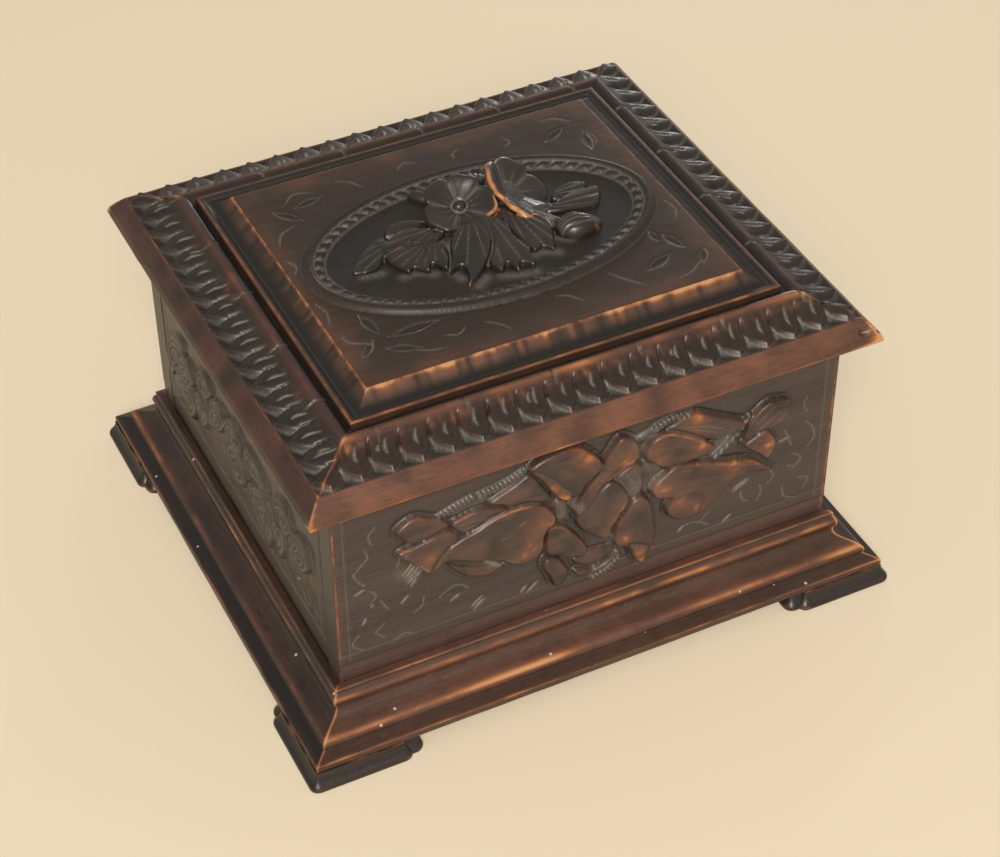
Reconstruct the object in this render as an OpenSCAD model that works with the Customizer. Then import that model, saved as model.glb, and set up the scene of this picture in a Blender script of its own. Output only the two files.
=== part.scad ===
// Carved cigar box: a mitred lid with a raised panel, hinged on a boarded case with a moulded base.
// The floor is z = 0, the front faces -Y and the plan is centred on the origin.

/* [Case] */
// Width of the case across the front
case_w = 244; // [220:1:300]
// Depth of the case from front to back
case_d = 216; // [190:1:260]
// Height of the case boards
case_h = 131.3; // [115:0.1:160]
// Thickness of the four case boards
board_t = 12; // [10:0.5:14]
// Thickness of the bottom board
bottom_t = 10; // [6:0.5:14]
// Depth of the plain band cut round the foot of the case
band_cut = 0.6; // [0.3:0.1:1.2]
// Height of the plain band above the base moulding
band_h = 9; // [5:0.5:14]

/* [Cedar lining] */
// Thickness of the lining boards
lining_t = 4; // [3:0.5:6]
// How far the lining stops below the rim
lining_drop = 1.5; // [0.5:0.1:4]

/* [Base moulding] */
// Height of the top of the moulding above the foot tops
base_h = 26.7; // [24:0.1:34]
// Width of the ledge on top of the moulding
ledge_w = 3.2; // [2.6:0.1:5]
// Depth of the bead centre below the ledge
bead_drop = 5.7; // [5:0.1:6.5]
// Radius of the bead under the ledge
bead_r = 3; // [2.4:0.1:3.6]
// How far the bead stands out from the case
bead_out = 5.5; // [5:0.1:7]
// Radius of the hollow under the bead
hollow_r = 4.3; // [3.5:0.1:5]
// How far the hollow starts back from the bead
hollow_back = 0.6; // [0.4:0.1:1]
// Radius of the nose below the hollow
nose_r = 2.2; // [1.6:0.1:2.6]
// How far the nose stands out from the case
nose_out = 15.4; // [14:0.1:18]
// Height of the nose centre above the foot tops
nose_up = 8.1; // [7.5:0.1:10]
// How far the plinth stands out from the case
plinth_out = 21.3; // [19:0.1:25]
// Height of the plinth face
plinth_h = 3.7; // [2.5:0.1:4.5]

/* [Feet] */
// Height of the feet
foot_h = 8.8; // [7:0.1:14]
// How far the toe of a foot stands out from the plinth
toe_out = 4.1; // [2:0.1:6]
// Width of a foot strip under the plinth
foot_strip_w = 18; // [12:0.5:22]
// Length of a foot strip from the corner
foot_len = 49; // [35:1:70]
// Length of the small lobe past the end of a foot strip
lobe_len = 6; // [4:0.5:10]
// How far the lobe lies back from the toe
lobe_back = 2.4; // [1:0.1:4]
// Radius of the rounded end of the lobe
lobe_r = 4; // [3:0.5:4]
// Size of the corner cut off the end of a foot strip
foot_end_cut = 3; // [1:0.5:5]

/* [Lid frame] */
// How far the lid stands out past the case
overhang = 13; // [11:0.5:16]
// Gap between the case and the closed lid
lid_gap = 0.3; // [0.2:0.05:0.6]
// Height of the plain sloping edge
fascia_h = 11; // [9:0.5:13]
// How far the plain edge slopes inwards
fascia_in = 7.4; // [5:0.1:9]
// Radius of the hollow sweep behind the arris
sweep_r = 25; // [24:0.5:28]
// Radius of the roll along the crest
roll_r = 4.5; // [4:0.1:5]
// Distance from the arris to the roll centre
roll_in = 19.4; // [18:0.1:21]
// Height of the roll centre above the arris
roll_up = 3; // [2.6:0.1:3.4]
// Width of the lid frame
frame_w = 42; // [40:0.5:48]

/* [Lid panel] */
// Distance from the lid edge to the panel
panel_in = 33; // [32:0.5:36]
// Thickness of the lid panel
panel_t = 12; // [10:0.5:14]
// Height of the rebate that carries the panel
rebate_h = 12; // [10:0.5:14]
// Height of the groove floor beside the panel above the rebate
groove_up = 4.5; // [3:0.5:5]
// Height of the fillet round the panel above the rebate
fillet_up = 7.2; // [6:0.1:8]
// Width of the fillet round the panel
fillet_w = 3; // [2:0.1:4]
// Width of the hollow border between fillet and field
border_w = 10; // [8:0.5:14]
// Distance of the deepest line of the border from the fillet
border_in = 2.5; // [2:0.1:3.5]
// Depth of the hollow border below the field
border_drop = 5.8; // [4:0.1:7]
// Half length of the oval moulding on the field
oval_a = 80.5; // [70:0.5:84]
// Half width of the oval moulding on the field
oval_b = 47.3; // [44:0.1:50]
// Radius of the oval roll
oval_r = 3; // [2:0.1:4]
// Depth of the oval roll's centre below the field
oval_sink = 0.6; // [0.2:0.1:1]
// Radius of the beaded string inside the oval roll
string_r = 1.5; // [1:0.1:2]

/* [Carving] */
// Height of the relief on the front of the case
front_relief = 5; // [3:0.1:6]
// Height of the relief on the two ends of the case
side_relief = 3.5; // [2:0.1:5]
// Height of the leaves in the spray on the lid
spray_h = 5; // [4:0.1:7]
// Radius of the stems under the spray
stem_r = 2.2; // [1.5:0.1:3]
// Radius of the open flower on the lid
flower_r = 15.5; // [13:0.1:17]
// Radius of the turned flower on the lid
flower2_r = 17; // [14:0.1:18]
// Thickness of the petals
petal_t = 2.4; // [1.6:0.1:3]
// Depth of an open flower as a share of its radius
flower_dish = 0.42; // [0.3:0.01:0.5]

/* [Hinges] */
// Distance of each hinge centre from the end of the case
hinge_in = 47; // [40:1:62]
// Length of a hinge
hinge_len = 38; // [30:1:50]
// Width of a hinge leaf in the wood
leaf_w = 10; // [8:0.1:11]
// Thickness of a hinge leaf
leaf_t = 1.1; // [0.8:0.1:1.2]
// Outer radius of the hinge knuckles
knuckle_r = 2.6; // [2.2:0.1:2.8]
// Distance of the hinge pin behind the case
pin_out = 3; // [2.9:0.1:3.4]
// Radius of the hinge pin
pin_r = 1.2; // [1:0.05:1.4]
// Running clearance round the hinge pin
pin_gap = 0.05; // [0.02:0.01:0.1]
// Radius of a hinge screw shank
screw_r = 1.2; // [0.9:0.05:1.4]
// Radius of a hinge screw head
screw_head_r = 2.2; // [1.8:0.1:2.4]
// Length of a hinge screw
screw_len = 9; // [6:0.5:10]

/* [Hidden] */

$fn = 64;
// Cuts run this far past a face
cut = 1;
// Clearance of a part let into its recess
fit = 0.2;
// Gap between two hinge knuckles
knuckle_gap = 0.2;
// Clearance round the knuckles in the lid
knuckle_room = 0.4;
// Knuckles on each hinge
knuckles = 5;
// Each arc of the oval stops this far from its joint
joint_gap = 0.2;
// Screws in each hinge leaf
leaf_screws = 3;

rim_z = foot_h + case_h;
floor_z = foot_h + bottom_t;
lid_z = rim_z + lid_gap;
base_top = foot_h + base_h;
lid_w = case_w + 2 * overhang;
lid_d = case_d + 2 * overhang;
inner_w = case_w - 2 * board_t;
inner_d = case_d - 2 * board_t;
room_w = inner_w - 2 * lining_t;
room_d = inner_d - 2 * lining_t;
toe = plinth_out + toe_out;
panel_w = lid_w - 2 * panel_in;
panel_d = lid_d - 2 * panel_in;
panel_z = lid_z + rebate_h;
field_z = panel_z + panel_t;
pin_y = case_d / 2 + pin_out;
pin_z = rim_z + lid_gap / 2;
hinge_x = case_w / 2 - hinge_in;
knuckle_len = hinge_len / knuckles;
screw_y = case_d / 2 - leaf_w / 2;
screw_pitch = hinge_len / leaf_screws;

wood = [0.30, 0.17, 0.10];
wood_dark = [0.20, 0.12, 0.08];
wood_worn = [0.48, 0.26, 0.13];
cedar = [0.62, 0.38, 0.24];
brass = [0.70, 0.55, 0.27];

// A prism along X, its section in Y and Z, centred on the origin
module along_x(length) {
    rotate([90, 0, 90]) translate([0, 0, -length / 2]) linear_extrude(length) children();
}

// A board centred in X and Y, standing on z
module board(w, d, h, z) {
    translate([-w / 2, -d / 2, z]) cube([w, d, h]);
}

// Plan of a strip whose back edge is y = 0 and whose front edge lies at -out, mitred at both ends
module mitre_plan(back_len, out) {
    half = back_len / 2;
    polygon([[-half, 0], [half, 0], [half + out, -out], [-half - out, -out]]);
}

// A moulded strip with its section in (outwards, up), mitred round a case side of the given length
module mitred_strip(back_len, out, height) {
    intersection() {
        along_x(back_len + 2 * out + 2 * cut) mirror([1, 0]) children();
        translate([0, 0, -cut]) linear_extrude(height + 2 * cut) mitre_plan(back_len, out);
    }
}

// Puts a strip made for the front on a side of the plan, 0 front, 1 right, 2 back, 3 left
module on_side(side, w, d) {
    rotate(90 * side) translate([0, -(side % 2 == 0 ? d : w) / 2, 0]) children();
}

function side_len(side, w, d) = side % 2 == 0 ? w : d;

// A crowned leaf with two pointed ends, lying along X on z = 0, sunk below it by root
module crowned_leaf(length, width, rise, root = 1) {
    arc_r = (pow(length, 2) + pow(width, 2)) / (4 * width);
    edge = rise * 0.25;
    crown_r = (pow(length / 2, 2) + pow(rise - edge, 2)) / (2 * (rise - edge));
    intersection() {
        translate([0, arc_r - width / 2, -root]) cylinder(r = arc_r, h = rise + root + cut);
        translate([0, width / 2 - arc_r, -root]) cylinder(r = arc_r, h = rise + root + cut);
        translate([0, 0, rise - crown_r]) sphere(r = crown_r);
    }
}

// A group of leaves from a list of [x, y, turn, length, width, share of the full height]
module leaf_group(leaves, full) {
    for (leaf = leaves)
        translate([leaf[0], leaf[1], 0]) rotate(leaf[2]) crowned_leaf(leaf[3], leaf[4], full * leaf[5]);
}

// Section of the base moulding, outwards from the case and up from the floor
module base_section() {
    bead_z = base_top - bead_drop;
    bead_x = bead_out - bead_r;
    hollow_x = bead_out - hollow_back + hollow_r;
    hollow_z = bead_z - hollow_back / 2 - hollow_r;
    nose_x = nose_out - nose_r;
    nose_z = foot_h + nose_up;
    difference() {
        union() {
            polygon([
                [0, foot_h], [plinth_out, foot_h], [plinth_out, foot_h + plinth_h],
                [nose_out - nose_r / 4, nose_z - nose_r], [nose_x, nose_z + nose_r],
                [hollow_x, hollow_z - hollow_r], [hollow_x, bead_z - 0.8 * bead_r],
                [bead_x, bead_z - bead_r], [bead_x, bead_z + bead_r], [ledge_w, base_top], [0, base_top]
            ]);
            translate([bead_x, bead_z]) circle(r = bead_r);
            translate([nose_x, nose_z]) circle(r = nose_r);
        }
        translate([hollow_x, hollow_z]) circle(r = hollow_r);
    }
}

module base_strip(side) {
    len = side_len(side, case_w, case_d);
    color(wood)
        on_side(side, case_w, case_d) mitred_strip(len, plinth_out, base_top) base_section();
}

// Section of a foot strip, with a hollow face over a rounded toe
module foot_section(out) {
    hollow = foot_h / 2;
    toe_r = foot_h / 6;
    lip = 0.4;
    difference() {
        union() {
            polygon([
                [plinth_out - foot_strip_w, 0], [out - toe_r, 0], [out, toe_r], [out, foot_h / 3],
                [plinth_out, foot_h], [plinth_out - foot_strip_w, foot_h]
            ]);
            translate([out - toe_r, toe_r]) circle(r = toe_r);
        }
        translate([plinth_out + hollow, foot_h - lip]) circle(r = hollow);
    }
}

// A length of the foot section along the front, cut to the plan that is given
module foot_solid(length, out) {
    intersection() {
        along_x(length + 2 * toe + 2 * cut) mirror([1, 0]) foot_section(out);
        translate([0, 0, -cut]) linear_extrude(foot_h + 2 * cut) children();
    }
}

// Half of a bracket foot: a strip from the corner towards +X along the front, mitred at its left end
module foot_half(length) {
    corner = -length / 2 - toe;
    main_end = corner + foot_len;
    lobe_end = main_end + lobe_len;
    lobe_toe = toe - lobe_back;
    foot_solid(length, toe)
        polygon([
            [-length / 2, 0], [main_end, 0], [main_end, foot_end_cut - toe],
            [main_end - foot_end_cut, -toe], [corner, -toe]
        ]);
    foot_solid(length, lobe_toe) {
        translate([main_end - cut, lobe_r / 2 - plinth_out])
            square([lobe_len - cut, foot_strip_w - lobe_r]);
        translate([main_end - cut, -lobe_toe]) square([lobe_len + cut - lobe_r, 2 * lobe_r]);
        translate([lobe_end - lobe_r, lobe_r - lobe_toe]) circle(r = lobe_r);
    }
}

// A foot half on a side of the box, at the left or right end of that side
module foot_strip(side, right) {
    color(wood_dark)
        on_side(side, case_w, case_d) mirror([right ? 1 : 0, 0, 0])
            foot_half(side_len(side, case_w, case_d));
}

// Section of the lid frame below its roll, inwards from its outer edge and up from its underside
module rail_section() {
    groove_y = rebate_h + groove_up;
    seat = panel_in - fit;
    edge = 0.6;
    polygon([
        [edge, 0], [0, 1], [fascia_in, fascia_h], [roll_x - 0.5 * roll_r, roll_y + 0.8 * roll_r],
        [roll_x, groove_y], [seat, groove_y], [seat, rebate_h], [frame_w, rebate_h], [frame_w, 0]
    ]);
}

// The roll along the crest of the lid frame and the hollow sweep up to it
roll_x = fascia_in + roll_in;
roll_y = fascia_h + roll_up;

module lid_rail(side) {
    length = side_len(side, lid_w, lid_d);
    color(wood)
        on_side(side, lid_w, lid_d) translate([0, 0, lid_z])
            intersection() {
                union() {
                    difference() {
                        along_x(length + 2 * cut) rail_section();
                        along_x(length + 4 * cut) translate([fascia_in, fascia_h + sweep_r])
                            circle(r = sweep_r);
                    }
                    along_x(length + 2 * cut) translate([roll_x, roll_y]) circle(r = roll_r);
                }
                translate([0, 0, -cut]) linear_extrude(fascia_h + 4 * roll_r)
                    polygon([
                        [-length / 2, 0], [length / 2, 0], [length / 2 - frame_w, frame_w],
                        [frame_w - length / 2, frame_w]
                    ]);
            }
}

// Section of the raised panel across a width, with a fillet and a hollow border on each edge
module panel_section(width) {
    hollow_r = (pow(border_w - border_in, 2) + pow(border_drop, 2)) / (2 * border_drop);
    half = width / 2;
    difference() {
        polygon([
            [-half, 0], [half, 0], [half, fillet_up], [half - fillet_w, fillet_up],
            [half - fillet_w - border_in, panel_t - border_drop], [half - fillet_w - border_w, panel_t],
            [fillet_w + border_w - half, panel_t], [fillet_w + border_in - half, panel_t - border_drop],
            [fillet_w - half, fillet_up], [-half, fillet_up]
        ]);
        for (s = [-1, 1])
            translate([s * (half - fillet_w - border_in), panel_t - border_drop + hollow_r])
                circle(r = hollow_r);
    }
}

// An oval of four arcs: the radius at each end, the centre distances and the radius along each side
end_r = 0.7 * oval_b;
end_x = oval_a - end_r;
side_r = (pow(end_x, 2) + pow(oval_b, 2) - pow(end_r, 2)) / (2 * (oval_b - end_r));
side_y = side_r - oval_b;
end_turn = atan2(side_y, end_x);

// A round string laid along the oval, grown outwards by grow, with a bead over each of its four joints
module oval_string(r, grow) {
    end_path = end_r + grow;
    side_path = side_r + grow;
    end_stop = end_turn - asin(joint_gap / end_path);
    side_stop = end_turn + asin(joint_gap / side_path);
    for (s = [0, 180]) rotate(s) {
        translate([end_x, 0, 0]) rotate(-end_stop)
            rotate_extrude(angle = 2 * end_stop) translate([end_path, 0]) circle(r = r);
        translate([0, -side_y, 0]) rotate(side_stop)
            rotate_extrude(angle = 180 - 2 * side_stop) translate([side_path, 0]) circle(r = r);
        for (t = [-1, 1])
            translate([end_x, 0, 0]) rotate(t * end_turn) translate([end_path, 0, 0]) rotate([90, 0, 0])
                sphere(r = 1.05 * r);
    }
}

module lid_panel() {
    color(wood_dark) {
        translate([0, 0, panel_z])
            intersection() {
                along_x(panel_w) panel_section(panel_d);
                rotate(90) along_x(panel_d + 2 * cut) panel_section(panel_w);
            }
        translate([0, 0, field_z - oval_sink]) oval_string(oval_r, 0);
        translate([0, 0, field_z]) oval_string(string_r, -oval_r);
    }
}

module lid_lining() {
    w = lid_w - 2 * frame_w - 2 * fit;
    d = lid_d - 2 * frame_w - 2 * fit;
    color(cedar) board(w, d, lining_t, panel_z - lining_t);
}

// Leaves of the spray: [x, y, turn, length, width, share of the height]
spray_leaves = [
    [-48, 2, 24, 32, 15, 0.8], [-31, -4, 30, 26, 14, 0.7], [-28, 13, -8, 26, 12, 0.8],
    [-11, -15, 63, 38, 21, 1], [7, -17, -78, 32, 16, 0.9], [17, -13, -55, 28, 13, 0.8],
    [47, 2, 12, 28, 13, 0.7], [41, -14, -12, 22, 12, 1.2]
];

// Stems that join the leaves and flowers of the spray: [x, y, turn, length]
stems = [[-52, 0, 1.7, 99], [-28, 13, 4.8, 24], [-4, 15, -90, 15], [27, 15, -90, 13], [27, 2, -49, 21]];

// An open flower of five petals: a dish with a lobed edge round a boss, on a stalk
module open_flower(r) {
    petals = 5;
    petal_at = r * 0.5;
    petal_r = r * 0.52;
    boss_r = r * 0.2;
    depth = r * flower_dish;
    bowl = (pow(r, 2) + pow(depth, 2)) / (2 * depth);
    intersection() {
        difference() {
            translate([0, 0, bowl]) sphere(r = bowl + petal_t);
            translate([0, 0, bowl]) sphere(r = bowl);
        }
        linear_extrude(height = 4 * r, center = true)
            for (i = [0:petals - 1])
                rotate(360 / petals * (i + 0.25)) translate([petal_at, 0]) circle(r = petal_r);
    }
    sphere(r = boss_r);
    translate([0, 0, -r]) cylinder(r1 = r * 0.55, r2 = r * 0.3, h = r);
}

// Middles of the two flowers on the field, and their turns
flower_at = [-4, 15];
flower2_at = [27, 15];
flower_turn = [16, -8, 0];
flower2_turn = [0, 24, 8];
// The second flower lies this much lower than the first
flower2_down = 3;

module lid_flower_spray() {
    color(wood_worn)
        translate([0, 0, field_z])
            intersection() {
                union() {
                    leaf_group(spray_leaves, spray_h);
                    for (stem = stems)
                        translate([stem[0], stem[1], 0]) rotate([0, 90, stem[2]])
                            cylinder(r = stem_r, h = stem[3]);
                    translate([flower_at[0], flower_at[1], spray_h]) rotate(flower_turn)
                        open_flower(flower_r);
                    translate([flower2_at[0], flower2_at[1], spray_h - flower2_down]) rotate(flower2_turn)
                        open_flower(flower2_r);
                }
                translate([-case_w / 2, -case_d / 2, 0]) cube([case_w, case_d, 4 * flower_r]);
            }
}

// Leaves on the front: [x, height above the case bottom, turn, length, width, share of the height]
front_leaves = [
    [-81, 103, -18, 26, 13, 0.7], [-78, 85, 22, 34, 17, 0.7], [-47, 80, 20, 62, 30, 1],
    [-13, 103, 118, 36, 27, 1], [-56, 97, 8, 36, 12, 0.5], [4, 85, 62, 50, 24, 0.9],
    [-14, 62, -60, 34, 17, 0.8], [-20, 48, 100, 28, 11, 0.7], [18, 85, 88, 30, 14, 0.5],
    [22, 55, 74, 40, 19, 0.8], [45, 99, -26, 44, 17, 0.8], [58, 108, -22, 46, 13, 0.5],
    [60, 73, 172, 66, 30, 1], [86, 97, 44, 30, 14, 0.7], [84, 83, 14, 22, 14, 0.7],
    [5, 42, 8, 30, 8, 0.5]
];

// Leaves on an end: [distance towards the front, height above the case bottom, turn, length, width, share]
side_leaves = [
    [-60, 90, 30, 46, 20, 0.9], [-78, 72, 60, 34, 16, 0.8], [-46, 70, 96, 36, 16, 0.9],
    [-20, 92, -20, 46, 20, 1], [4, 74, 60, 40, 20, 1], [34, 78, -50, 44, 22, 1],
    [34, 58, 82, 30, 14, 0.8], [52, 92, 30, 40, 18, 0.9], [52, 64, 100, 30, 15, 0.8],
    [76, 84, 14, 32, 15, 0.8]
];

// A plain case board that stands on the front of the plan: its outer face is y = 0
module case_board(width) {
    difference() {
        translate([-width / 2, 0, foot_h]) cube([width, board_t, case_h]);
        // The plain band above the moulding
        translate([-width / 2 - cut, -cut, base_top]) cube([width + 2 * cut, cut + band_cut, band_h]);
    }
}

// A case board with leaves raised from its face, between the plain band and the rim
module carved_board(width, leaves, relief) {
    band_z = base_top + band_h;
    case_board(width);
    intersection() {
        translate([0, 0, foot_h]) rotate([90, 0, 0]) leaf_group(leaves, relief);
        translate([-width / 2, -2 * relief, band_z]) cube([width, 2 * relief + cut, rim_z - band_z]);
    }
}

module front_board() {
    color(wood_dark) on_side(0, case_w, case_d) carved_board(case_w, front_leaves, front_relief);
}

module back_board() {
    color(wood_dark)
        difference() {
            on_side(2, case_w, case_d) case_board(case_w);
            for (s = [-1, 1])
                translate([s * hinge_x, 0, 0]) {
                    translate([-hinge_len / 2 - fit, case_d / 2 - leaf_w - fit, rim_z - leaf_t])
                        cube([hinge_len + 2 * fit, leaf_w + fit + cut, leaf_t + cut]);
                    leaf_screw_holes() translate([0, 0, rim_z - screw_len - fit])
                        cylinder(r = screw_r + fit / 2, h = screw_len);
                }
        }
}

module left_board() {
    color(wood_dark) on_side(3, case_w, case_d) carved_board(inner_d, side_leaves, side_relief);
}

module right_board() {
    color(wood_dark)
        on_side(1, case_w, case_d) mirror([1, 0, 0]) carved_board(inner_d, side_leaves, side_relief);
}

module bottom_board() {
    color(wood_dark) board(inner_w, inner_d, bottom_t, foot_h);
}

module lining_floor() {
    color(cedar) board(inner_w, inner_d, lining_t, floor_z);
}

lining_z = floor_z + lining_t;
lining_h = rim_z - lining_drop - lining_z;

module lining_long(side) {
    color(cedar)
        translate([-inner_w / 2, side * (inner_d - lining_t) / 2 - lining_t / 2, lining_z])
            cube([inner_w, lining_t, lining_h]);
}

module lining_short(side) {
    color(cedar)
        translate([side * (inner_w - lining_t) / 2 - lining_t / 2, -room_d / 2, lining_z])
            cube([lining_t, room_d, lining_h]);
}

// Places of the screws along one leaf, on the hinge's own middle
module leaf_screw_holes() {
    for (i = [0:leaf_screws - 1])
        translate([(i - (leaf_screws - 1) / 2) * screw_pitch, screw_y, 0]) children();
}

// The knuckles of one leaf: first is 0 for the case leaf and 1 for the lid leaf
module knuckle_row(first) {
    for (i = [first:2:knuckles - 1])
        translate([-hinge_len / 2 + i * knuckle_len + knuckle_gap / 2, pin_y, pin_z]) rotate([0, 90, 0])
            cylinder(r = knuckle_r, h = knuckle_len - knuckle_gap);
}

// The tongues of plate that join a leaf to its own knuckles
module knuckle_tongues(first, z) {
    for (i = [first:2:knuckles - 1])
        translate([-hinge_len / 2 + i * knuckle_len + knuckle_gap / 2, case_d / 2 - fit - cut, z])
            cube([knuckle_len - knuckle_gap, pin_out + fit + cut, leaf_t]);
}

// A hinge leaf with its plate at height z: its screws sink from the face at sink_z
module hinge_leaf(first, z, sink_z, down) {
    color(brass)
        difference() {
            union() {
                translate([-hinge_len / 2, case_d / 2 - leaf_w, z]) cube([hinge_len, leaf_w - fit, leaf_t]);
                knuckle_tongues(first, z);
                knuckle_row(first);
            }
            translate([-hinge_len, pin_y, pin_z]) rotate([0, 90, 0])
                cylinder(r = pin_r + pin_gap, h = 2 * hinge_len);
            leaf_screw_holes() translate([0, 0, sink_z]) mirror([0, 0, down ? 1 : 0])
                screw_shape(fit / 2, leaf_t + cut);
        }
}

// A countersunk screw pointing up from its head face at z = 0, grown by grow
module screw_shape(grow, length) {
    head_h = screw_head_r - screw_r;
    cylinder(r1 = screw_head_r + grow, r2 = screw_r + grow, h = head_h);
    translate([0, 0, -grow]) cylinder(r = screw_head_r + grow, h = grow + 0.01);
    translate([0, 0, head_h - 0.01]) cylinder(r = screw_r + grow, h = length - head_h);
}

module case_leaf(s) {
    translate([s * hinge_x, 0, 0]) hinge_leaf(0, rim_z - leaf_t, rim_z, true);
}

module lid_leaf(s) {
    translate([s * hinge_x, 0, 0]) hinge_leaf(1, lid_z, lid_z, false);
}

module hinge_pin(s) {
    color(brass)
        translate([s * hinge_x - hinge_len / 2, pin_y, pin_z]) rotate([0, 90, 0])
            cylinder(r = pin_r, h = hinge_len);
}

module case_hinge_screws() {
    color(brass)
        for (s = [-1, 1])
            translate([s * hinge_x, 0, 0]) leaf_screw_holes()
                translate([0, 0, rim_z]) mirror([0, 0, 1]) screw_shape(0, screw_len);
}

module lid_hinge_screws() {
    color(brass)
        for (s = [-1, 1])
            translate([s * hinge_x, 0, 0]) leaf_screw_holes()
                translate([0, 0, lid_z]) screw_shape(0, screw_len);
}

// The back rail is let in for the hinge leaves, the knuckles and the screws
module lid_rail_back() {
    difference() {
        lid_rail(2);
        for (s = [-1, 1])
            translate([s * hinge_x, 0, 0]) {
                translate([-hinge_len / 2 - fit, case_d / 2 - leaf_w - fit, lid_z - cut])
                    cube([hinge_len + 2 * fit, leaf_w + pin_out + fit, leaf_t + cut]);
                translate([-hinge_len / 2 - fit, pin_y - knuckle_r - knuckle_room, lid_z - cut])
                    cube([hinge_len + 2 * fit, 2 * (knuckle_r + knuckle_room),
                          pin_z + knuckle_r + knuckle_room - lid_z + cut]);
                leaf_screw_holes() translate([0, 0, lid_z])
                    cylinder(r = screw_r + fit / 2, h = screw_len + fit);
            }
    }
}

front_board();
back_board();
left_board();
right_board();
bottom_board();
lining_floor();
lining_long(-1);  // lining_front
lining_long(1);  // lining_back
lining_short(-1);  // lining_left
lining_short(1);  // lining_right
base_strip(0);  // base_front
base_strip(2);  // base_back
base_strip(3);  // base_left
base_strip(1);  // base_right
foot_strip(0, false);  // foot_front_left
foot_strip(0, true);  // foot_front_right
foot_strip(2, true);  // foot_back_left
foot_strip(2, false);  // foot_back_right
foot_strip(3, true);  // foot_left_front
foot_strip(3, false);  // foot_left_back
foot_strip(1, false);  // foot_right_front
foot_strip(1, true);  // foot_right_back
lid_rail(0);  // lid_rail_front
lid_rail_back();
lid_rail(3);  // lid_rail_left
lid_rail(1);  // lid_rail_right
lid_panel();
lid_lining();
lid_flower_spray();
case_leaf(-1);  // case_leaf_left
case_leaf(1);  // case_leaf_right
lid_leaf(-1);  // lid_leaf_left
lid_leaf(1);  // lid_leaf_right
hinge_pin(-1);  // hinge_pin_left
hinge_pin(1);  // hinge_pin_right
case_hinge_screws();
lid_hinge_screws();
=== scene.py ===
"""Looks of a carved cigar box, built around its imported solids.

The real box is walnut, carved with gouges, stained nearly black, waxed, and worn back to
orange brown along every arris. Lengths here are in millimetres unless a name says otherwise.
"""

import logging
import math
from collections.abc import Sequence
from dataclasses import dataclass, field, replace
from enum import Enum

import bpy
import numpy as np
from mathutils import Matrix, Vector


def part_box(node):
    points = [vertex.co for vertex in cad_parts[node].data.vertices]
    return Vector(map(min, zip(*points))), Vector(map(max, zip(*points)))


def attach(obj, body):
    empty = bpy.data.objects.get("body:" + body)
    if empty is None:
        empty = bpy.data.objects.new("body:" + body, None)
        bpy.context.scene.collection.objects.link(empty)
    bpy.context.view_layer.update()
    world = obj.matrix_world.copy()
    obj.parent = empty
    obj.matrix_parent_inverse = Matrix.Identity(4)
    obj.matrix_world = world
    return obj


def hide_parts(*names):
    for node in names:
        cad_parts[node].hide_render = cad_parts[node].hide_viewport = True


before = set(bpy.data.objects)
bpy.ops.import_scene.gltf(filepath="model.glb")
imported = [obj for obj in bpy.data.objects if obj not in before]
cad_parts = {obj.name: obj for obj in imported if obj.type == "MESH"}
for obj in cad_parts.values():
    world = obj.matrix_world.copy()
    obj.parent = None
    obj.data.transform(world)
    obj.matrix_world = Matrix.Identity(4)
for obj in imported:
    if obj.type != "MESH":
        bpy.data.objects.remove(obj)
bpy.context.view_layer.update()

LOG = logging.getLogger("cigar_box")
MM = 0.001
# Height of the lid panel's field above the panel's underside
FIELD_UP = 12.0
LAYERS = ("height", "wear", "dust", "tone", "shade")

Array = np.ndarray
Points = list[tuple[float, float]]
Triple = tuple[float, float, float]
Piece = bpy.types.Object
Material = bpy.types.Material
Tree = bpy.types.NodeTree
Socket = bpy.types.NodeSocket


class Side(Enum):
    """A side of the plan, as quarter turns from the front."""

    FRONT = 0
    RIGHT = 1
    BACK = 2
    LEFT = 3

    @property
    def along_x(self) -> bool:
        """Whether the side runs along X."""
        return self in (Side.FRONT, Side.BACK)

    def spans(self, width: float, depth: float) -> tuple[float, float]:
        """The side's own length, and the size of the box across it."""
        return (width, depth) if self.along_x else (depth, width)


class Grain(Enum):
    """The axis along which a piece's grain runs."""

    X = 0
    Y = 1


# Sizes


@dataclass(frozen=True)
class Sizes:
    """Sizes of the box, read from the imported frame."""

    case_w: float
    case_d: float
    board_t: float
    rim_z: float
    foot_h: float
    base_top: float
    plinth_out: float
    toe: float
    lid_w: float
    lid_d: float
    lid_z: float
    frame_w: float
    panel_w: float
    panel_d: float
    panel_z: float
    field_z: float

    @classmethod
    def from_frame(cls) -> "Sizes":
        """Reads the sizes from the boxes of the CAD nodes.

        Returns:
            The sizes in millimetres.
        """
        nodes = ("back_board", "base_front", "foot_front_left", "lid_rail_front", "lid_rail_left",
                 "lid_panel")
        low, high = zip(*([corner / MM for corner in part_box(node)] for node in nodes))
        back, rail, side, panel = (high[i] - low[i] for i in (0, 3, 4, 5))
        case_d = 2 * high[0].y
        return cls(
            case_w=back.x, case_d=case_d, board_t=back.y, rim_z=high[0].z, foot_h=high[2].z,
            base_top=high[1].z, plinth_out=-low[1].y - case_d / 2, toe=-low[2].y - case_d / 2,
            lid_w=rail.x, lid_d=side.y, lid_z=low[3].z, frame_w=rail.y, panel_w=panel.x,
            panel_d=panel.y, panel_z=low[5].z, field_z=low[5].z + FIELD_UP,
        )


# Small geometry tools


def unit(value: Array) -> Array:
    """Keeps values between 0 and 1."""
    return np.clip(value, 0.0, 1.0)


def ease(low: float, high: float, value: Array) -> Array:
    """Runs smoothly from 0 at low to 1 at high."""
    t = unit((value - low) / (high - low))
    return t * t * (3.0 - 2.0 * t)


def bell(offset: Array, width: float = 1.0) -> Array:
    """Falls smoothly from 1 in the middle to a third at the width."""
    return np.exp(-(offset / width) ** 2)


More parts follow.
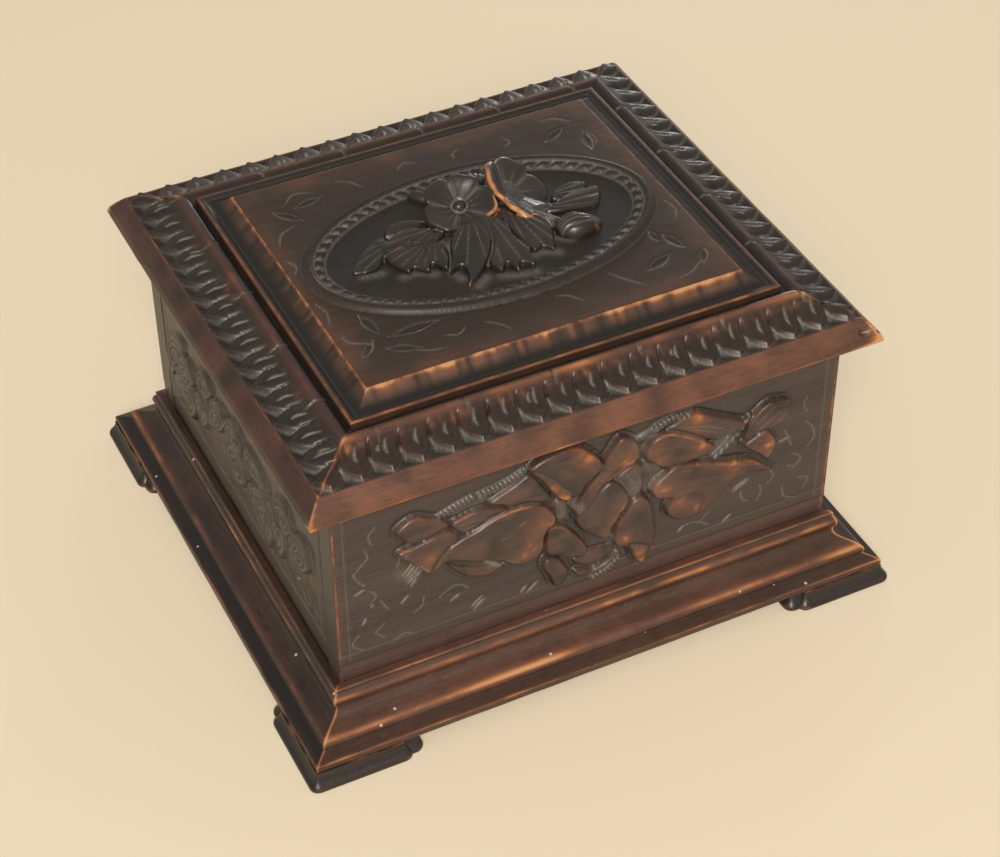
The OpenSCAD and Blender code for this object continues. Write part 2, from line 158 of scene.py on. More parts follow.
def smooth_path(points: Points, closed: bool) -> Array:
    """Rounds a path through its points, with six new points for each stretch.

    Args:
        points: The points, in order.
        closed: Whether the last point joins the first.

    Returns:
        The rounded path, one point a row.
    """
    base = np.array(points, float)
    if closed:
        padded = np.vstack([base[-1:], base, base[:2]])
    else:
        padded = np.vstack([2 * base[:1] - base[1:2], base, 2 * base[-1:] - base[-2:-1]])
    t = np.linspace(0.0, 1.0, 6, endpoint=False)[:, None]
    rows = [0.5 * (2 * start + (end - before) * t
                   + (2 * before - 5 * start + 4 * end - after) * t ** 2
                   + (3 * start - before - 3 * end + after) * t ** 3)
            for before, start, end, after in zip(padded, padded[1:], padded[2:], padded[3:])]
    return np.vstack(rows if closed else rows + [base[-1:]])


def path_distance(u: Array, v: Array, path: Array, closed: bool) -> tuple[Array, Array]:
    """Measures how far each point lies from a path, and how far along.

    Args:
        u: First coordinates of the points.
        v: Second coordinates of the points.
        path: The path, one point a row.
        closed: Whether the path closes.

    Returns:
        The distance and the length along the path at the nearest point.
    """
    ends = np.roll(path, -1, axis=0) if closed else path[1:]
    best, along, run = np.full(u.shape, 1e9), np.zeros(u.shape), 0.0
    for (ax, ay), (bx, by) in zip(path, ends):
        dx, dy = bx - ax, by - ay
        length = math.hypot(dx, dy)
        if length < 1e-9:
            continue
        t = unit(((u - ax) * dx + (v - ay) * dy) / length ** 2)
        distance = np.hypot(u - ax - t * dx, v - ay - t * dy)
        nearer = distance < best
        best = np.where(nearer, distance, best)
        along = np.where(nearer, run + t * length, along)
        run += length
    return best, along


def inside_path(u: Array, v: Array, path: Array) -> Array:
    """Tells which points lie inside a closed path.

    Args:
        u: First coordinates of the points.
        v: Second coordinates of the points.
        path: The closed path, one point a row.

    Returns:
        True where a point lies inside.
    """
    found = np.zeros(u.shape, bool)
    for (ax, ay), (bx, by) in zip(path, np.roll(path, -1, axis=0)):
        if ay != by:
            crosses = (ay > v) != (by > v)
            found ^= crosses & (u < (bx - ax) * (v - ay) / (by - ay) + ax)
    return found


def pebbles(u: Array, v: Array, size: float, seed: int) -> Array:
    """Smooth irregular waves of about one size, from -1 to 1.

    Args:
        u: First coordinates of the points.
        v: Second coordinates of the points.
        size: Distance between neighbouring waves.
        seed: Seed of the pattern.

    Returns:
        The height of the waves at each point.
    """
    table = np.random.default_rng(seed).uniform(-1.0, 1.0, (64, 64))
    gu, gv = u / size + 300.0, v / size + 300.0
    iu, iv = np.floor(gu).astype(int), np.floor(gv).astype(int)
    fu, fv = ease(0.0, 1.0, gu - iu), ease(0.0, 1.0, gv - iv)
    low, high = (table[(iv + k) % 64, iu % 64] * (1 - fu) + table[(iv + k) % 64, (iu + 1) % 64] * fu
                 for k in (0, 1))
    return low * (1 - fv) + high * fv


def turned(points: Array, side: Side) -> Array:
    """Turns points made for the front to another side of the plan.

    Args:
        points: Points with X, Y and Z in the last axis.
        side: The side to turn them to.

    Returns:
        The turned points.
    """
    c, s = ((1, 0), (0, 1), (-1, 0), (0, -1))[side.value]
    x, y, z = points[..., 0], points[..., 1], points[..., 2]
    return np.stack([c * x - s * y, s * x + c * y, z], axis=-1)


def spaced(low: float, high: float, pitch: float) -> Array:
    """Evenly spaced values from low to high, about pitch apart."""
    return np.linspace(low, high, max(2, int(round((high - low) / pitch)) + 1))


def resample(path: Array, pitch: float) -> Array:
    """Places points evenly along a path.

    Args:
        path: The path, one point a row.
        pitch: Distance between the new points.

    Returns:
        The new points, ends included.
    """
    run = np.append(0.0, np.cumsum(np.linalg.norm(np.diff(path, axis=0), axis=1)))
    at = spaced(0.0, run[-1], pitch)
    return np.stack([np.interp(at, run, values) for values in path.T], axis=1)


# Mesh tools, each one a few steps at the bench


def read_points(piece: Piece, what: str = "co") -> Array:
    """Reads a vector of each point, one a row.

    Args:
        piece: The piece.
        what: The place, co, or the normal.

    Returns:
        The vectors, places in metres.
    """
    values = np.empty(len(piece.data.vertices) * 3)
    piece.data.vertices.foreach_get(what, values)
    return values.reshape(-1, 3)


def lay_grid(name: str, points: Array) -> tuple[Piece, tuple[Array, Array]]:
    """Adds a grid and lays its points on a surface.

    Args:
        name: Name of the new piece.
        points: The surface as rows and columns of points.

    Returns:
        The piece, and the row and column of each of its points.
    """
    rows, cols = points.shape[:2]
    bpy.ops.object.select_all(action="DESELECT")
    bpy.ops.mesh.primitive_grid_add(x_subdivisions=cols - 1, y_subdivisions=rows - 1, size=1.0)
    piece = bpy.context.object
    piece.name = piece.data.name = name
    start = read_points(piece)
    col = np.rint((start[:, 0] + 0.5) * (cols - 1)).astype(int)
    row = np.rint((start[:, 1] + 0.5) * (rows - 1)).astype(int)
    piece.data.vertices.foreach_set("co", (points[row, col] * MM).ravel())
    piece.data.update()
    return piece, (row, col)


def add_marks(piece: Piece, at: tuple[Array, Array] | None = None, **layers: Array) -> None:
    """Adds to the numbers from 0 to 1 on each point, which the materials read.

    Args:
        piece: The piece.
        at: Row and column of each point, for values that lie on a grid.
        **layers: The values, by the attribute's name.
    """
    for name, values in layers.items():
        layer = piece.data.attributes.get(name)
        if layer is None:
            layer = piece.data.attributes.new(name, "FLOAT", "POINT")
        there = np.empty(len(layer.data), np.float32)
        layer.data.foreach_get("value", there)
        values = unit(there + (values if at is None else values[at]))
        layer.data.foreach_set("value", values.astype(np.float32))


def pick(*pieces: Piece) -> None:
    """Selects some pieces alone, the first one active.

    Args:
        *pieces: The pieces.
    """
    bpy.ops.object.select_all(action="DESELECT")
    for piece in pieces:
        piece.select_set(True)
    bpy.context.view_layer.objects.active = pieces[0]


def join(name: str, pieces: list[Piece]) -> Piece:
    """Joins pieces into one.

    Args:
        name: Name of the joined piece.
        pieces: The pieces.

    Returns:
        The joined piece.
    """
    pick(*pieces)
    bpy.ops.object.join()
    pieces[0].name = name
    return pieces[0]


def edit(piece: Piece, action: str) -> None:
    """Opens a piece in edit mode.

    Args:
        piece: The piece.
        action: What to do to its points, SELECT or DESELECT.
    """
    pick(piece)
    bpy.ops.object.mode_set(mode="EDIT")
    bpy.ops.mesh.select_mode(type="VERT")
    bpy.ops.mesh.select_all(action=action)


def leave_edit() -> None:
    """Turns all faces outwards and leaves edit mode."""
    bpy.ops.mesh.select_all(action="SELECT")
    bpy.ops.mesh.normals_make_consistent(inside=False)
    bpy.ops.object.mode_set(mode="OBJECT")


def close_behind(piece: Piece, squeeze: Triple, plane: Sequence[float]) -> None:
    """Turns an open face into a closed board: its rim is drawn back to a plane and filled.

    Args:
        piece: The open face.
        squeeze: 1 on the axes that stay and 0 on the axis that goes flat.
        plane: A point of the back plane, in millimetres.
    """
    edit(piece, "DESELECT")
    bpy.ops.mesh.select_non_manifold()
    bpy.ops.mesh.extrude_region_move()
    bpy.ops.transform.resize(value=squeeze, center_override=[c * MM for c in plane])
    bpy.ops.mesh.edge_face_add()
    leave_edit()


def close_tube(piece: Piece) -> None:
    """Joins the long edges of a rolled grid and fills its two ends.

    Args:
        piece: The rolled grid.
    """
    edit(piece, "SELECT")
    bpy.ops.mesh.remove_doubles(threshold=1e-6)
    bpy.ops.mesh.fill_holes(sides=0)
    leave_edit()


def modify(piece: Piece, kind: str, **settings: object) -> None:
    """Adds a modifier to a piece and applies it.

    Args:
        piece: The piece.
        kind: The modifier's type.
        **settings: Its settings.
    """
    modifier = piece.modifiers.new(kind.lower(), kind)
    for key, value in settings.items():
        setattr(modifier, key, value)
    pick(piece)
    bpy.ops.object.modifier_apply(modifier=modifier.name)


def cut_box(piece: Piece, low: Sequence[float], high: Sequence[float]) -> None:
    """Cuts a square recess out of a piece.

    Args:
        piece: The piece.
        low: The lowest corner of the recess, in metres.
        high: Its highest corner.
    """
    bpy.ops.object.select_all(action="DESELECT")
    middle = [(a + b) / 2 for a, b in zip(low, high)]
    bpy.ops.mesh.primitive_cube_add(size=1.0, location=middle)
    tool = bpy.context.object
    tool.scale = [b - a for a, b in zip(low, high)]
    bpy.ops.object.transform_apply(location=True, rotation=True, scale=True)
    modify(piece, "BOOLEAN", operation="DIFFERENCE", solver="EXACT", object=tool)
    bpy.data.objects.remove(tool)


def bulge(piece: Piece, rounds: int) -> Array:
    """Measures how far each point stands out of its smoothed surroundings.

    Args:
        piece: The piece.
        rounds: Rounds of smoothing, which set how wide the surroundings are.

    Returns:
        The height above the surroundings, below 0 in a hollow and 0 beside coarse faces.
    """
    longest = 2.5
    place, normal = read_points(piece) / MM, read_points(piece, "normal")
    count = len(place)
    edges = np.empty(len(piece.data.edges) * 2, int)
    piece.data.edges.foreach_get("vertices", edges)
    edges = edges.reshape(-1, 2)
    length = np.linalg.norm(place[edges[:, 0]] - place[edges[:, 1]], axis=1)
    coarse = np.bincount(edges[length >= longest].ravel(), minlength=count) > 0
    edges = edges[length < longest]
    ends, others = edges.T.ravel(), edges[:, ::-1].T.ravel()
    degree = np.maximum(np.bincount(ends, minlength=count), 1)
    soft = place.copy()
    for _ in range(rounds):
        mean = np.stack([np.bincount(ends, soft[others, k], count) for k in range(3)], axis=1)
        mean /= degree[:, None]
        soft = np.where((degree > 1)[:, None], 0.5 * soft + 0.5 * mean, soft)
    return np.where(coarse, 0.0, ((place - soft) * normal).sum(axis=1))


def weather(piece: Piece, wear: float, dust: float, fine: int = 3, broad: int = 24) -> None:
    """Marks where hands have worn a piece and where dust has settled in it, and paints shade into
    its broad hollows.

    Args:
        piece: The piece, with any marks of its own already on it.
        wear: Strength of the worn edges.
        dust: Strength of the settled dust.
        fine: Rounds of smoothing for the sharp edges.
        broad: Rounds of smoothing for the wide forms.
    """
    sharp, wide = bulge(piece, fine), bulge(piece, broad)
    add_marks(
        piece,
        wear=wear * (ease(0.02, 0.16, sharp) * 0.7 + ease(0.10, 0.8, wide) * 0.45),
        dust=dust * (ease(0.02, 0.14, -sharp) * 0.6 + ease(0.15, 0.9, -wide) * 0.4),
        shade=ease(0.1, 1.0, -wide))


def dress(piece: Piece, material: Material) -> None:
    """Gives a piece one material."""
    piece.data.materials.clear()
    piece.data.materials.append(material)


def place_piece(piece: Piece, material: Material, sharp: float, body: str, slot: str,
                *nodes: str) -> Piece:
    """Dresses a finished piece, puts it on its body and hides the CAD nodes that it stands for.

    Args:
        piece: The finished piece.
        material: Its finish.
        sharp: The angle in degrees from which an edge stays sharp.
        body: The CAD body that it moves with.
        slot: Not used.
        *nodes: The CAD nodes that it stands for.

    Returns:
        The piece.
    """
    dress(piece, material)
    pick(piece)
    bpy.ops.object.shade_smooth_by_angle(angle=math.radians(sharp))
    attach(piece, body)
    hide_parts(*nodes)
    LOG.info("%s on %s: %d faces", piece.name, body, len(piece.data.polygons))
    return piece


# Marks that a carver's tools leave on a flat face


@dataclass
class Canvas:
    """Heights over a flat face, with the wear, dust, tone and painted shade that the carving
    brings.

    The first coordinate u runs along the face and the second coordinate v up it.
    """

    u: Array
    v: Array
    height: Array = field(init=False)
    wear: Array = field(init=False)
    dust: Array = field(init=False)
    tone: Array = field(init=False)
    shade: Array = field(init=False)

    def __post_init__(self) -> None:
        """Starts with a flat, clean face."""
        for name in LAYERS:
            setattr(self, name, np.zeros((len(self.v), len(self.u))))

    def flip(self) -> None:
        """Turns the face and what is cut in it left to right."""
        self.u = -self.u[::-1]
        for name in LAYERS:
            setattr(self, name, getattr(self, name)[:, ::-1])

    def at_least(self, name: str, values: Array,
                 part: tuple[slice, slice] = (slice(None), slice(None))) -> None:
        """Brings a layer up to some values.

        Args:
            name: The layer.
            values: The least values.
            part: The rows and columns that they are for.
        """
        layer = getattr(self, name)[part]
        np.maximum(layer, values, out=layer)

    def near(self, points: Points, closed: bool, margin: float) -> tuple:
        """Finds the part of the face round a path, and how far it lies from the path.

        Args:
            points: The path.
            closed: Whether the path closes.
            margin: How far past it the part reaches.

        Returns:
            The rounded path, the rows and columns of the part, the coordinates there, the
            distance from the path, and the length along it.
        """
        path = smooth_path(points, closed)
        (u0, v0), (u1, v1) = path.min(axis=0) - margin, path.max(axis=0) + margin
        cols = slice(*np.searchsorted(self.u, [u0, u1]))
        rows = slice(*np.searchsorted(self.v, [v0, v1]))
        u, v = np.meshgrid(self.u[cols], self.v[rows])
        return path, (rows, cols), u, v, *path_distance(u, v, path, closed)


@dataclass(frozen=True)
class Leaf:
    """A leaf or petal that stands out of the ground.

    Its outline is a list of points. Its top is crowned, dished or tilted, may have a raised
    lip and a fan of veins, and is rubbed along its upper edge and on its high spots. Its upper
    edge is also painted lighter as a highlight, its lower edge gets painted shade, and painted
    shade rings it on the ground.
    """

    outline: Points
    rise: float
    crown: float = 1.0
    tilt: tuple[float, float] = (0.0, 0.0)
    lip: float = 0.0
    rubbed: float = 0.42
    spots: tuple[Triple, ...] = ()
    fan: tuple[float, float] | None = None
    ribs: int = 26
    under: float = 0.8
    round: float = 1.3
    drop: float = 0.4
    tone: float = 0.3
    painted_shade_ring: float = 0.85

    def cut(self, canvas: Canvas) -> None:
        """Raises the leaf over what is there already.

        Args:
            canvas: The face that it is carved in.
        """
        path, part, u, v, distance, _ = canvas.near(self.outline, True, 6.0)
        depth = np.where(inside_path(u, v, path), distance, -distance)
        middle = path.mean(axis=0)
        top = self.rise + self.crown * (1.0 - (1.0 - unit(depth / max(depth.max(), 0.5))) ** 2)
        top += self.tilt[0] * (u - middle[0]) + self.tilt[1] * (v - middle[1])
        top += self.lip * bell(depth - 1.0, 0.9)
        top -= (self.drop * self.rise + 0.5) * (1.0 - unit(depth / self.round)) ** 2
        pale = 0.0
        if self.fan:
            turn = np.arctan2(v - self.fan[1], u - self.fan[0])
            reach = np.hypot(u - self.fan[0], v - self.fan[1])
            beat = np.abs(np.sin(0.5 * self.ribs * turn + 0.6 * np.sin(5.0 * turn)))
            along = ease(2.0, 7.0, reach) * ease(0.4, 2.2, depth)
            top -= 0.7 * (1.0 - beat) ** 2.5 * along
            pale = 0.25 * (1.0 - beat) ** 4 * along * (0.5 + 0.5 * pebbles(u, v, 6.0, 33))
        ground = canvas.height[part]
        beside = bell(np.maximum(-depth, 0.0), 1.5)
        cover = ease(-0.45, 0.45, depth)
        top = np.where(ground > 0.8, np.maximum(top, 0.85 * ground + 0.3), top)
        canvas.height[part] = (ground - self.under * beside) * (1.0 - cover) + top * cover
        # The upper left edge is rubbed and painted lighter, a painted highlight as if the light
        # came from the upper left; the lower right one is painted dark, painted shade
        gain_v, gain_u = np.gradient(depth)
        facing = (-0.9 * gain_v - 0.4 * gain_u) / np.maximum(np.hypot(gain_v, gain_u), 1e-6)
        worn = self.rubbed * (bell(depth - 0.7, 0.45) * (0.15 + 0.85 * unit(facing)))
        cloudy = pebbles(u, v, 7.0, 31)
        red = self.tone * (0.75 + 0.8 * cloudy) + 0.2 * bell(depth, 2.0)
        dark = 0.8 * unit(-facing) * bell(depth - 0.2) + 0.5 * ease(0.0, 0.8, -cloudy)
        for at_u, at_v, size in self.spots:
            gap, wide = (np.exp(-((u - at_u) ** 2 + (v - at_v) ** 2) / (share * size) ** 2)
                         for share in (1.5, 3.2))
            worn = np.maximum(worn, 0.5 * gap * (0.8 + 0.4 * pebbles(u, v, 2.2, 32)))
            red = np.maximum(red, wide)
            dark = dark * (1.0 - wide)
        within = depth > -0.2
        # Painted shade on the ground round the leaf, which also darkens the edge of a leaf that it
        # overlaps and takes wear off there
        around = self.painted_shade_ring * beside
        for layer, on_it, off_it in (
            (canvas.wear, worn, canvas.wear[part] * (1 - around)),
            (canvas.dust, pale, canvas.dust[part]), (canvas.tone, red, canvas.tone[part]),
            (canvas.shade, dark, np.maximum(canvas.shade[part], around)),
        ):
            layer[part] = np.where(within, on_it, off_it)


@dataclass(frozen=True)
class Gouge:
    """A stroke of a gouge or a V tool, which swells in the middle of its path."""

    path: Points
    width: float
    depth: float
    dust: float
    even: bool = False
    shade: float = 0.0

    def cut(self, canvas: Canvas) -> None:
        """Cuts the stroke.

        Args:
            canvas: The face that it is cut in.
        """
        path, part, _, _, distance, along = canvas.near(self.path, False, 3.0 * self.width + 1.0)
        total = np.linalg.norm(np.diff(path, axis=0), axis=1).sum()
        swell = 1.0 if self.even else np.sqrt(np.maximum(np.sin(math.pi * along / total), 0.02))
        shape = bell(distance, np.maximum(0.5 * self.width * swell, 0.15))
        canvas.height[part] -= self.depth * shape * swell
        canvas.at_least("dust", self.dust * shape, part)
        canvas.at_least("shade", self.shade * shape, part)


@dataclass(frozen=True)
class Hatch:
    """A raised band cut across with fine even ridges."""

    path: Points
    width: float
    rise: float = 1.2
    pitch: float = 2.0
    ridge: float = 0.8
    dust: float = 0.45

    def cut(self, canvas: Canvas) -> None:
        """Raises the ridged band.

        Args:
            canvas: The face that it is carved in.
        """
        _, part, _, _, distance, along = canvas.near(self.path, False, self.width + 1.0)
        cover = ease(0.42 * self.width + 0.5, 0.42 * self.width - 0.7, distance)
        wave = 0.5 + 0.5 * np.cos(2.0 * math.pi * along / self.pitch)
        top = self.rise + self.ridge * wave - 0.25 * (distance / self.width) ** 2
        ground = canvas.height[part]
        canvas.height[part] = ground * (1 - cover) + np.maximum(top, ground) * cover
        # The band is painted pale mostly on the ridges' crests, a painted highlight there, and
        # faintly between them
        canvas.at_least("dust", self.dust * cover * (0.1 + 0.9 * wave ** 2), part)


Marks = list[Leaf | Gouge | Hatch]


# Finishes


def linear(colour: str) -> tuple[float, float, float, float]:
    """Turns an sRGB hex colour into the linear values that the shaders read."""
    parts = [int(colour[i:i + 2], 16) / 255.0 for i in (1, 3, 5)]
    return (*(c / 12.92 if c <= 0.04045 else ((c + 0.055) / 1.055) ** 2.4 for c in parts), 1.0)


def clear_tree(owner: Material | bpy.types.World) -> Tree:
    """Empties the node tree of a new material or world.

    Args:
        owner: The material or world.

    Returns:
        Its tree.
    """
    owner.use_nodes = True
    owner.node_tree.nodes.clear()
    return owner.node_tree


def add_node(tree: Tree, kind: str, links: dict, out: int | str = 0,
             **settings: object) -> Socket | None:
    """Adds a shader node with its settings and links.

    Args:
        tree: The node tree.
        kind: The node's type, without the word ShaderNode.
        links: For each input, by name or number, an output to link or a value to set.
        out: The output that is wanted, by name or number.
        **settings: Properties of the node.

    Returns:
        That output, or nothing where the node has none.
    """
    node = tree.nodes.new("ShaderNode" + kind)
    for key, value in settings.items():
        setattr(node, key, value)
    for key, value in links.items():
        if isinstance(value, Socket):
            tree.links.new(value, node.inputs[key])
        else:
            node.inputs[key].default_value = value
    return node.outputs[out] if len(node.outputs) else None


def noise(tree: Tree, place: Socket, scale: float, detail: float, rough: float,
          distortion: float = 0.0) -> Socket:
    """Adds a noise pattern.

    Args:
        tree: The node tree.
        place: The coordinates.
        scale: Waves in a metre.
        detail: Octaves of finer waves.
        rough: Strength of the finer waves.
        distortion: How much the waves are bent.

    Returns:
        The pattern.
    """
    return add_node(tree, "TexNoise", {"Vector": place, "Scale": scale, "Detail": detail,
                                       "Roughness": rough, "Distortion": distortion})


def streaks(tree: Tree, place: Socket, grain: Grain, across: float, along: float, detail: float,
            rough: float = 0.55, distortion: float = 0.0) -> Socket:
    """Adds noise drawn out along the grain.

    Args:
        tree: The node tree.
        place: The object's coordinates.
        grain: The grain's direction.
        across: Width of a streak in millimetres.
        along: Length of a streak in millimetres.
        detail: Octaves of finer waves.
        rough: Strength of the finer waves.
        distortion: How much the waves are bent.

    Returns:
        The pattern.
    """
    scale = [1.0 / (across * MM)] * 3
    scale[grain.value] = 1.0 / (along * MM)
    drawn = add_node(tree, "Mapping", {"Vector": place, "Scale": scale})
    return noise(tree, drawn, 1.0, detail, rough, distortion)


def ramp(tree: Tree, value: Socket, *stops: tuple[float, str]) -> Socket:
    """Colours a pattern.

    Args:
        tree: The node tree.
        value: The pattern.
        *stops: Places on the ramp and their hex colours.

    Returns:
        The colour.
    """
    colour = add_node(tree, "ValToRGB", {"Fac": value})
    elements = colour.node.color_ramp.elements
    while len(elements) < len(stops):
        elements.new(0.5)
    for element, (place, code) in zip(elements, stops):
        element.position = place
        element.color = linear(code)
    return colour


def blend(tree: Tree, share: float, first: Socket, second: Socket) -> Socket:
    """Mixes two patterns, with the given share of the second."""
    return add_node(tree, "Mix", {0: share, 2: first, 3: second})


def coat(tree: Tree, share: Socket, under: Socket, over: Socket | str) -> Socket:
    """Lays one colour over another, by a pattern."""
    over = linear(over) if isinstance(over, str) else over
    return add_node(tree, "Mix", {0: share, 6: under, 7: over}, 2, data_type="RGBA")


def times(tree: Tree, value: Socket, factor: Socket | float, clamp: bool = False) -> Socket:
    """Multiplies a pattern."""
    return add_node(tree, "Math", {0: value, 1: factor}, operation="MULTIPLY", use_clamp=clamp)


def remap(tree: Tree, value: Socket, start: float, end: float, low: float, high: float,
          **settings: object) -> Socket:
    """Brings a pattern's values from one range to another.

    Args:
        tree: The node tree.
        value: The pattern.
        start: Where the range starts.
        end: Where it ends.
        low: The new value at the start.
        high: The new value at the end.
        **settings: Properties of the node.

    Returns:
        The new pattern.
    """
    return add_node(tree, "MapRange", {"Value": value, "From Min": start, "From Max": end,
                                       "To Min": low, "To Max": high}, **settings)


@dataclass(frozen=True)
class StainedWalnut:
    """Stained and waxed walnut, worn and dusty where the piece's own marks say so.

    The eye gets long dark fibres under a soft sheen, orange wood on rubbed edges and
    grey dust in the cuts, with painted shade and painted highlights where the marks say so.
    """

    name: str
    grain: Grain
    dark: str = "#342928"
    body: str = "#463b38"
    red: str = "#54423c"
    tone: str = "#6f4a3b"
    worn: str = "#9a5d35"
    bare: str = "#cb9562"
    roughness: float = 0.33
    wax: float = 0.2
    fibre: float = 45.0
    patch: float = 9.0
    specks: float = 0.0

    def build(self) -> Material:
        """Makes the material.

        Returns:
            The material.
        """
        material = bpy.data.materials.new(self.name)
        tree = clear_tree(material)
        place = add_node(tree, "TexCoord", {}, "Object")
        fibre = streaks(tree, place, self.grain, 0.9, self.fibre, 3.0)
        figure = streaks(tree, place, self.grain, 11.0, 3.0 * self.fibre, 2.0)
        blotch = noise(tree, place, 1000 / 9.0, 4.0, 0.6)
        crumbs = noise(tree, place, 1000 / 1.3, 3.0, 0.7)
        wear, dust, depth, tone = (add_node(tree, "Attribute", {}, "Fac", attribute_name=name)
                                   for name in ("wear", "dust", "shade", "tone"))
        # Fibres and figure of the stained wood
        grain = blend(tree, 0.28, blend(tree, 0.45, fibre, figure), crumbs)
        colour = ramp(tree, grain, (0.38, self.dark), (0.51, self.body), (0.65, self.red))
        # Handled places are a lighter, redder brown, in soft mottles; on faces turned to the light
        # the same tone is painted light
        mottle = remap(tree, blend(tree, 0.5, blotch, fibre), 0.35, 0.65, 0.55, 1.2)
        colour = coat(tree, times(tree, tone, mottle, True), colour, self.tone)
        # Painted shade: the shade marks darken the colour towards near black, mostly where shade
        # falls in recesses, under overhangs, beside raised leaves and on faces turned from the
        # light, and in a few darker patches of the wood
        colour = coat(tree, times(tree, depth, 0.8), colour, "#120d0a")
        # Rubbed edges show the bare wood, in patches; on some upper edges and tongue points the
        # same colour is a painted highlight
        patches = streaks(tree, place, self.grain, 0.35 * self.patch + 4.0, self.patch, 4.0)
        rubbed = times(tree, wear, remap(tree, patches, 0.32, 0.62, 0.35, 1.25), True)
        bare = ramp(tree, rubbed, (0.12, self.tone), (0.5, self.worn), (0.95, self.bare))
        share = remap(tree, rubbed, 0.08, 0.6, 0.0, 1.0, interpolation_type="SMOOTHSTEP")
        colour = coat(tree, share, colour, bare)
        # Dust lies in the cuts, broken up; the same pale colour paints highlights on some ridges
        # and cut walls
        dust_and_highlight = times(tree, dust, remap(tree, crumbs, 0.35, 0.62, 0.5, 1.0), True)
        colour = coat(tree, dust_and_highlight, colour, "#8d8a7e")
        if self.specks > 0:
            # A few pale specks of old paint
            cells = add_node(tree, "TexVoronoi", {"Vector": place, "Scale": 1000 / 12.0})
            colour = coat(tree, remap(tree, cells, 0.05, 0.07, self.specks, 0.0), colour, "#cfc7b2")
        # Wax shines, dust is dull, and the pores break up the sheen
        rough = remap(tree, dust_and_highlight, 0.0, 1.0, self.roughness, 0.75)
        rough = add_node(tree, "Math", {0: rough, 1: times(tree, crumbs, 0.16)})
        bump = add_node(tree, "Bump", {"Height": blend(tree, 0.35, fibre, crumbs), "Strength": 0.35,
                                       "Distance": 0.25 * MM})
        shader = add_node(tree, "BsdfPrincipled", {
            "Base Color": colour, "Roughness": rough, "Normal": bump, "IOR": 1.5,
            "Coat Weight": self.wax, "Coat Roughness": 0.2, "Coat IOR": 1.45})
        add_node(tree, "OutputMaterial", {"Surface": shader})
        return material


@dataclass(frozen=True)
class PlanedCedar:
    """Bare planed cedar: warm, matt, with thin darker year rings along the boards."""

    name: str
    grain: Grain

    def build(self) -> Material:
        """Makes the material.

        Returns:
            The material.
        """
        material = bpy.data.materials.new(self.name)
        tree = clear_tree(material)
        place = add_node(tree, "TexCoord", {}, "Object")
        # Year rings, which also stand up a little under the light
        rings = streaks(tree, place, self.grain, 9.0, 260.0, 5.0, 0.65, 0.8)
        colour = ramp(tree, rings, (0.32, "#8d5233"), (0.5, "#b37748"), (0.68, "#c8925f"))
        bump = add_node(tree, "Bump", {"Height": rings, "Strength": 0.2, "Distance": 0.2 * MM})
        shader = add_node(tree, "BsdfPrincipled", {"Base Color": colour, "Roughness": 0.62,
                                                   "Normal": bump, "IOR": 1.5})
        add_node(tree, "OutputMaterial", {"Surface": shader})
        return material


@dataclass(frozen=True)
class AgedBrass:
    """Rolled brass gone brown with age, brighter where it rubs."""

    name: str = "aged_rolled_brass"

    def build(self) -> Material:
        """Makes the material.

        Returns:
            The material.
        """
        material = bpy.data.materials.new(self.name)
        tree = clear_tree(material)
        # Brown tarnish is dull, the rubbed metal between it is yellow and shines
        tarnish = noise(tree, add_node(tree, "TexCoord", {}, "Object"), 1000 / 3.0, 5.0, 0.65)
        colour = ramp(tree, tarnish, (0.32, "#7a5f31"), (0.52, "#98783d"), (0.72, "#b08f50"))
        shader = add_node(tree, "BsdfPrincipled", {
            "Base Color": colour, "Roughness": remap(tree, tarnish, 0.3, 0.7, 0.52, 0.28),
            "Metallic": 1.0})
        add_node(tree, "OutputMaterial", {"Surface": shader})
        return material


# Carved boards of the case


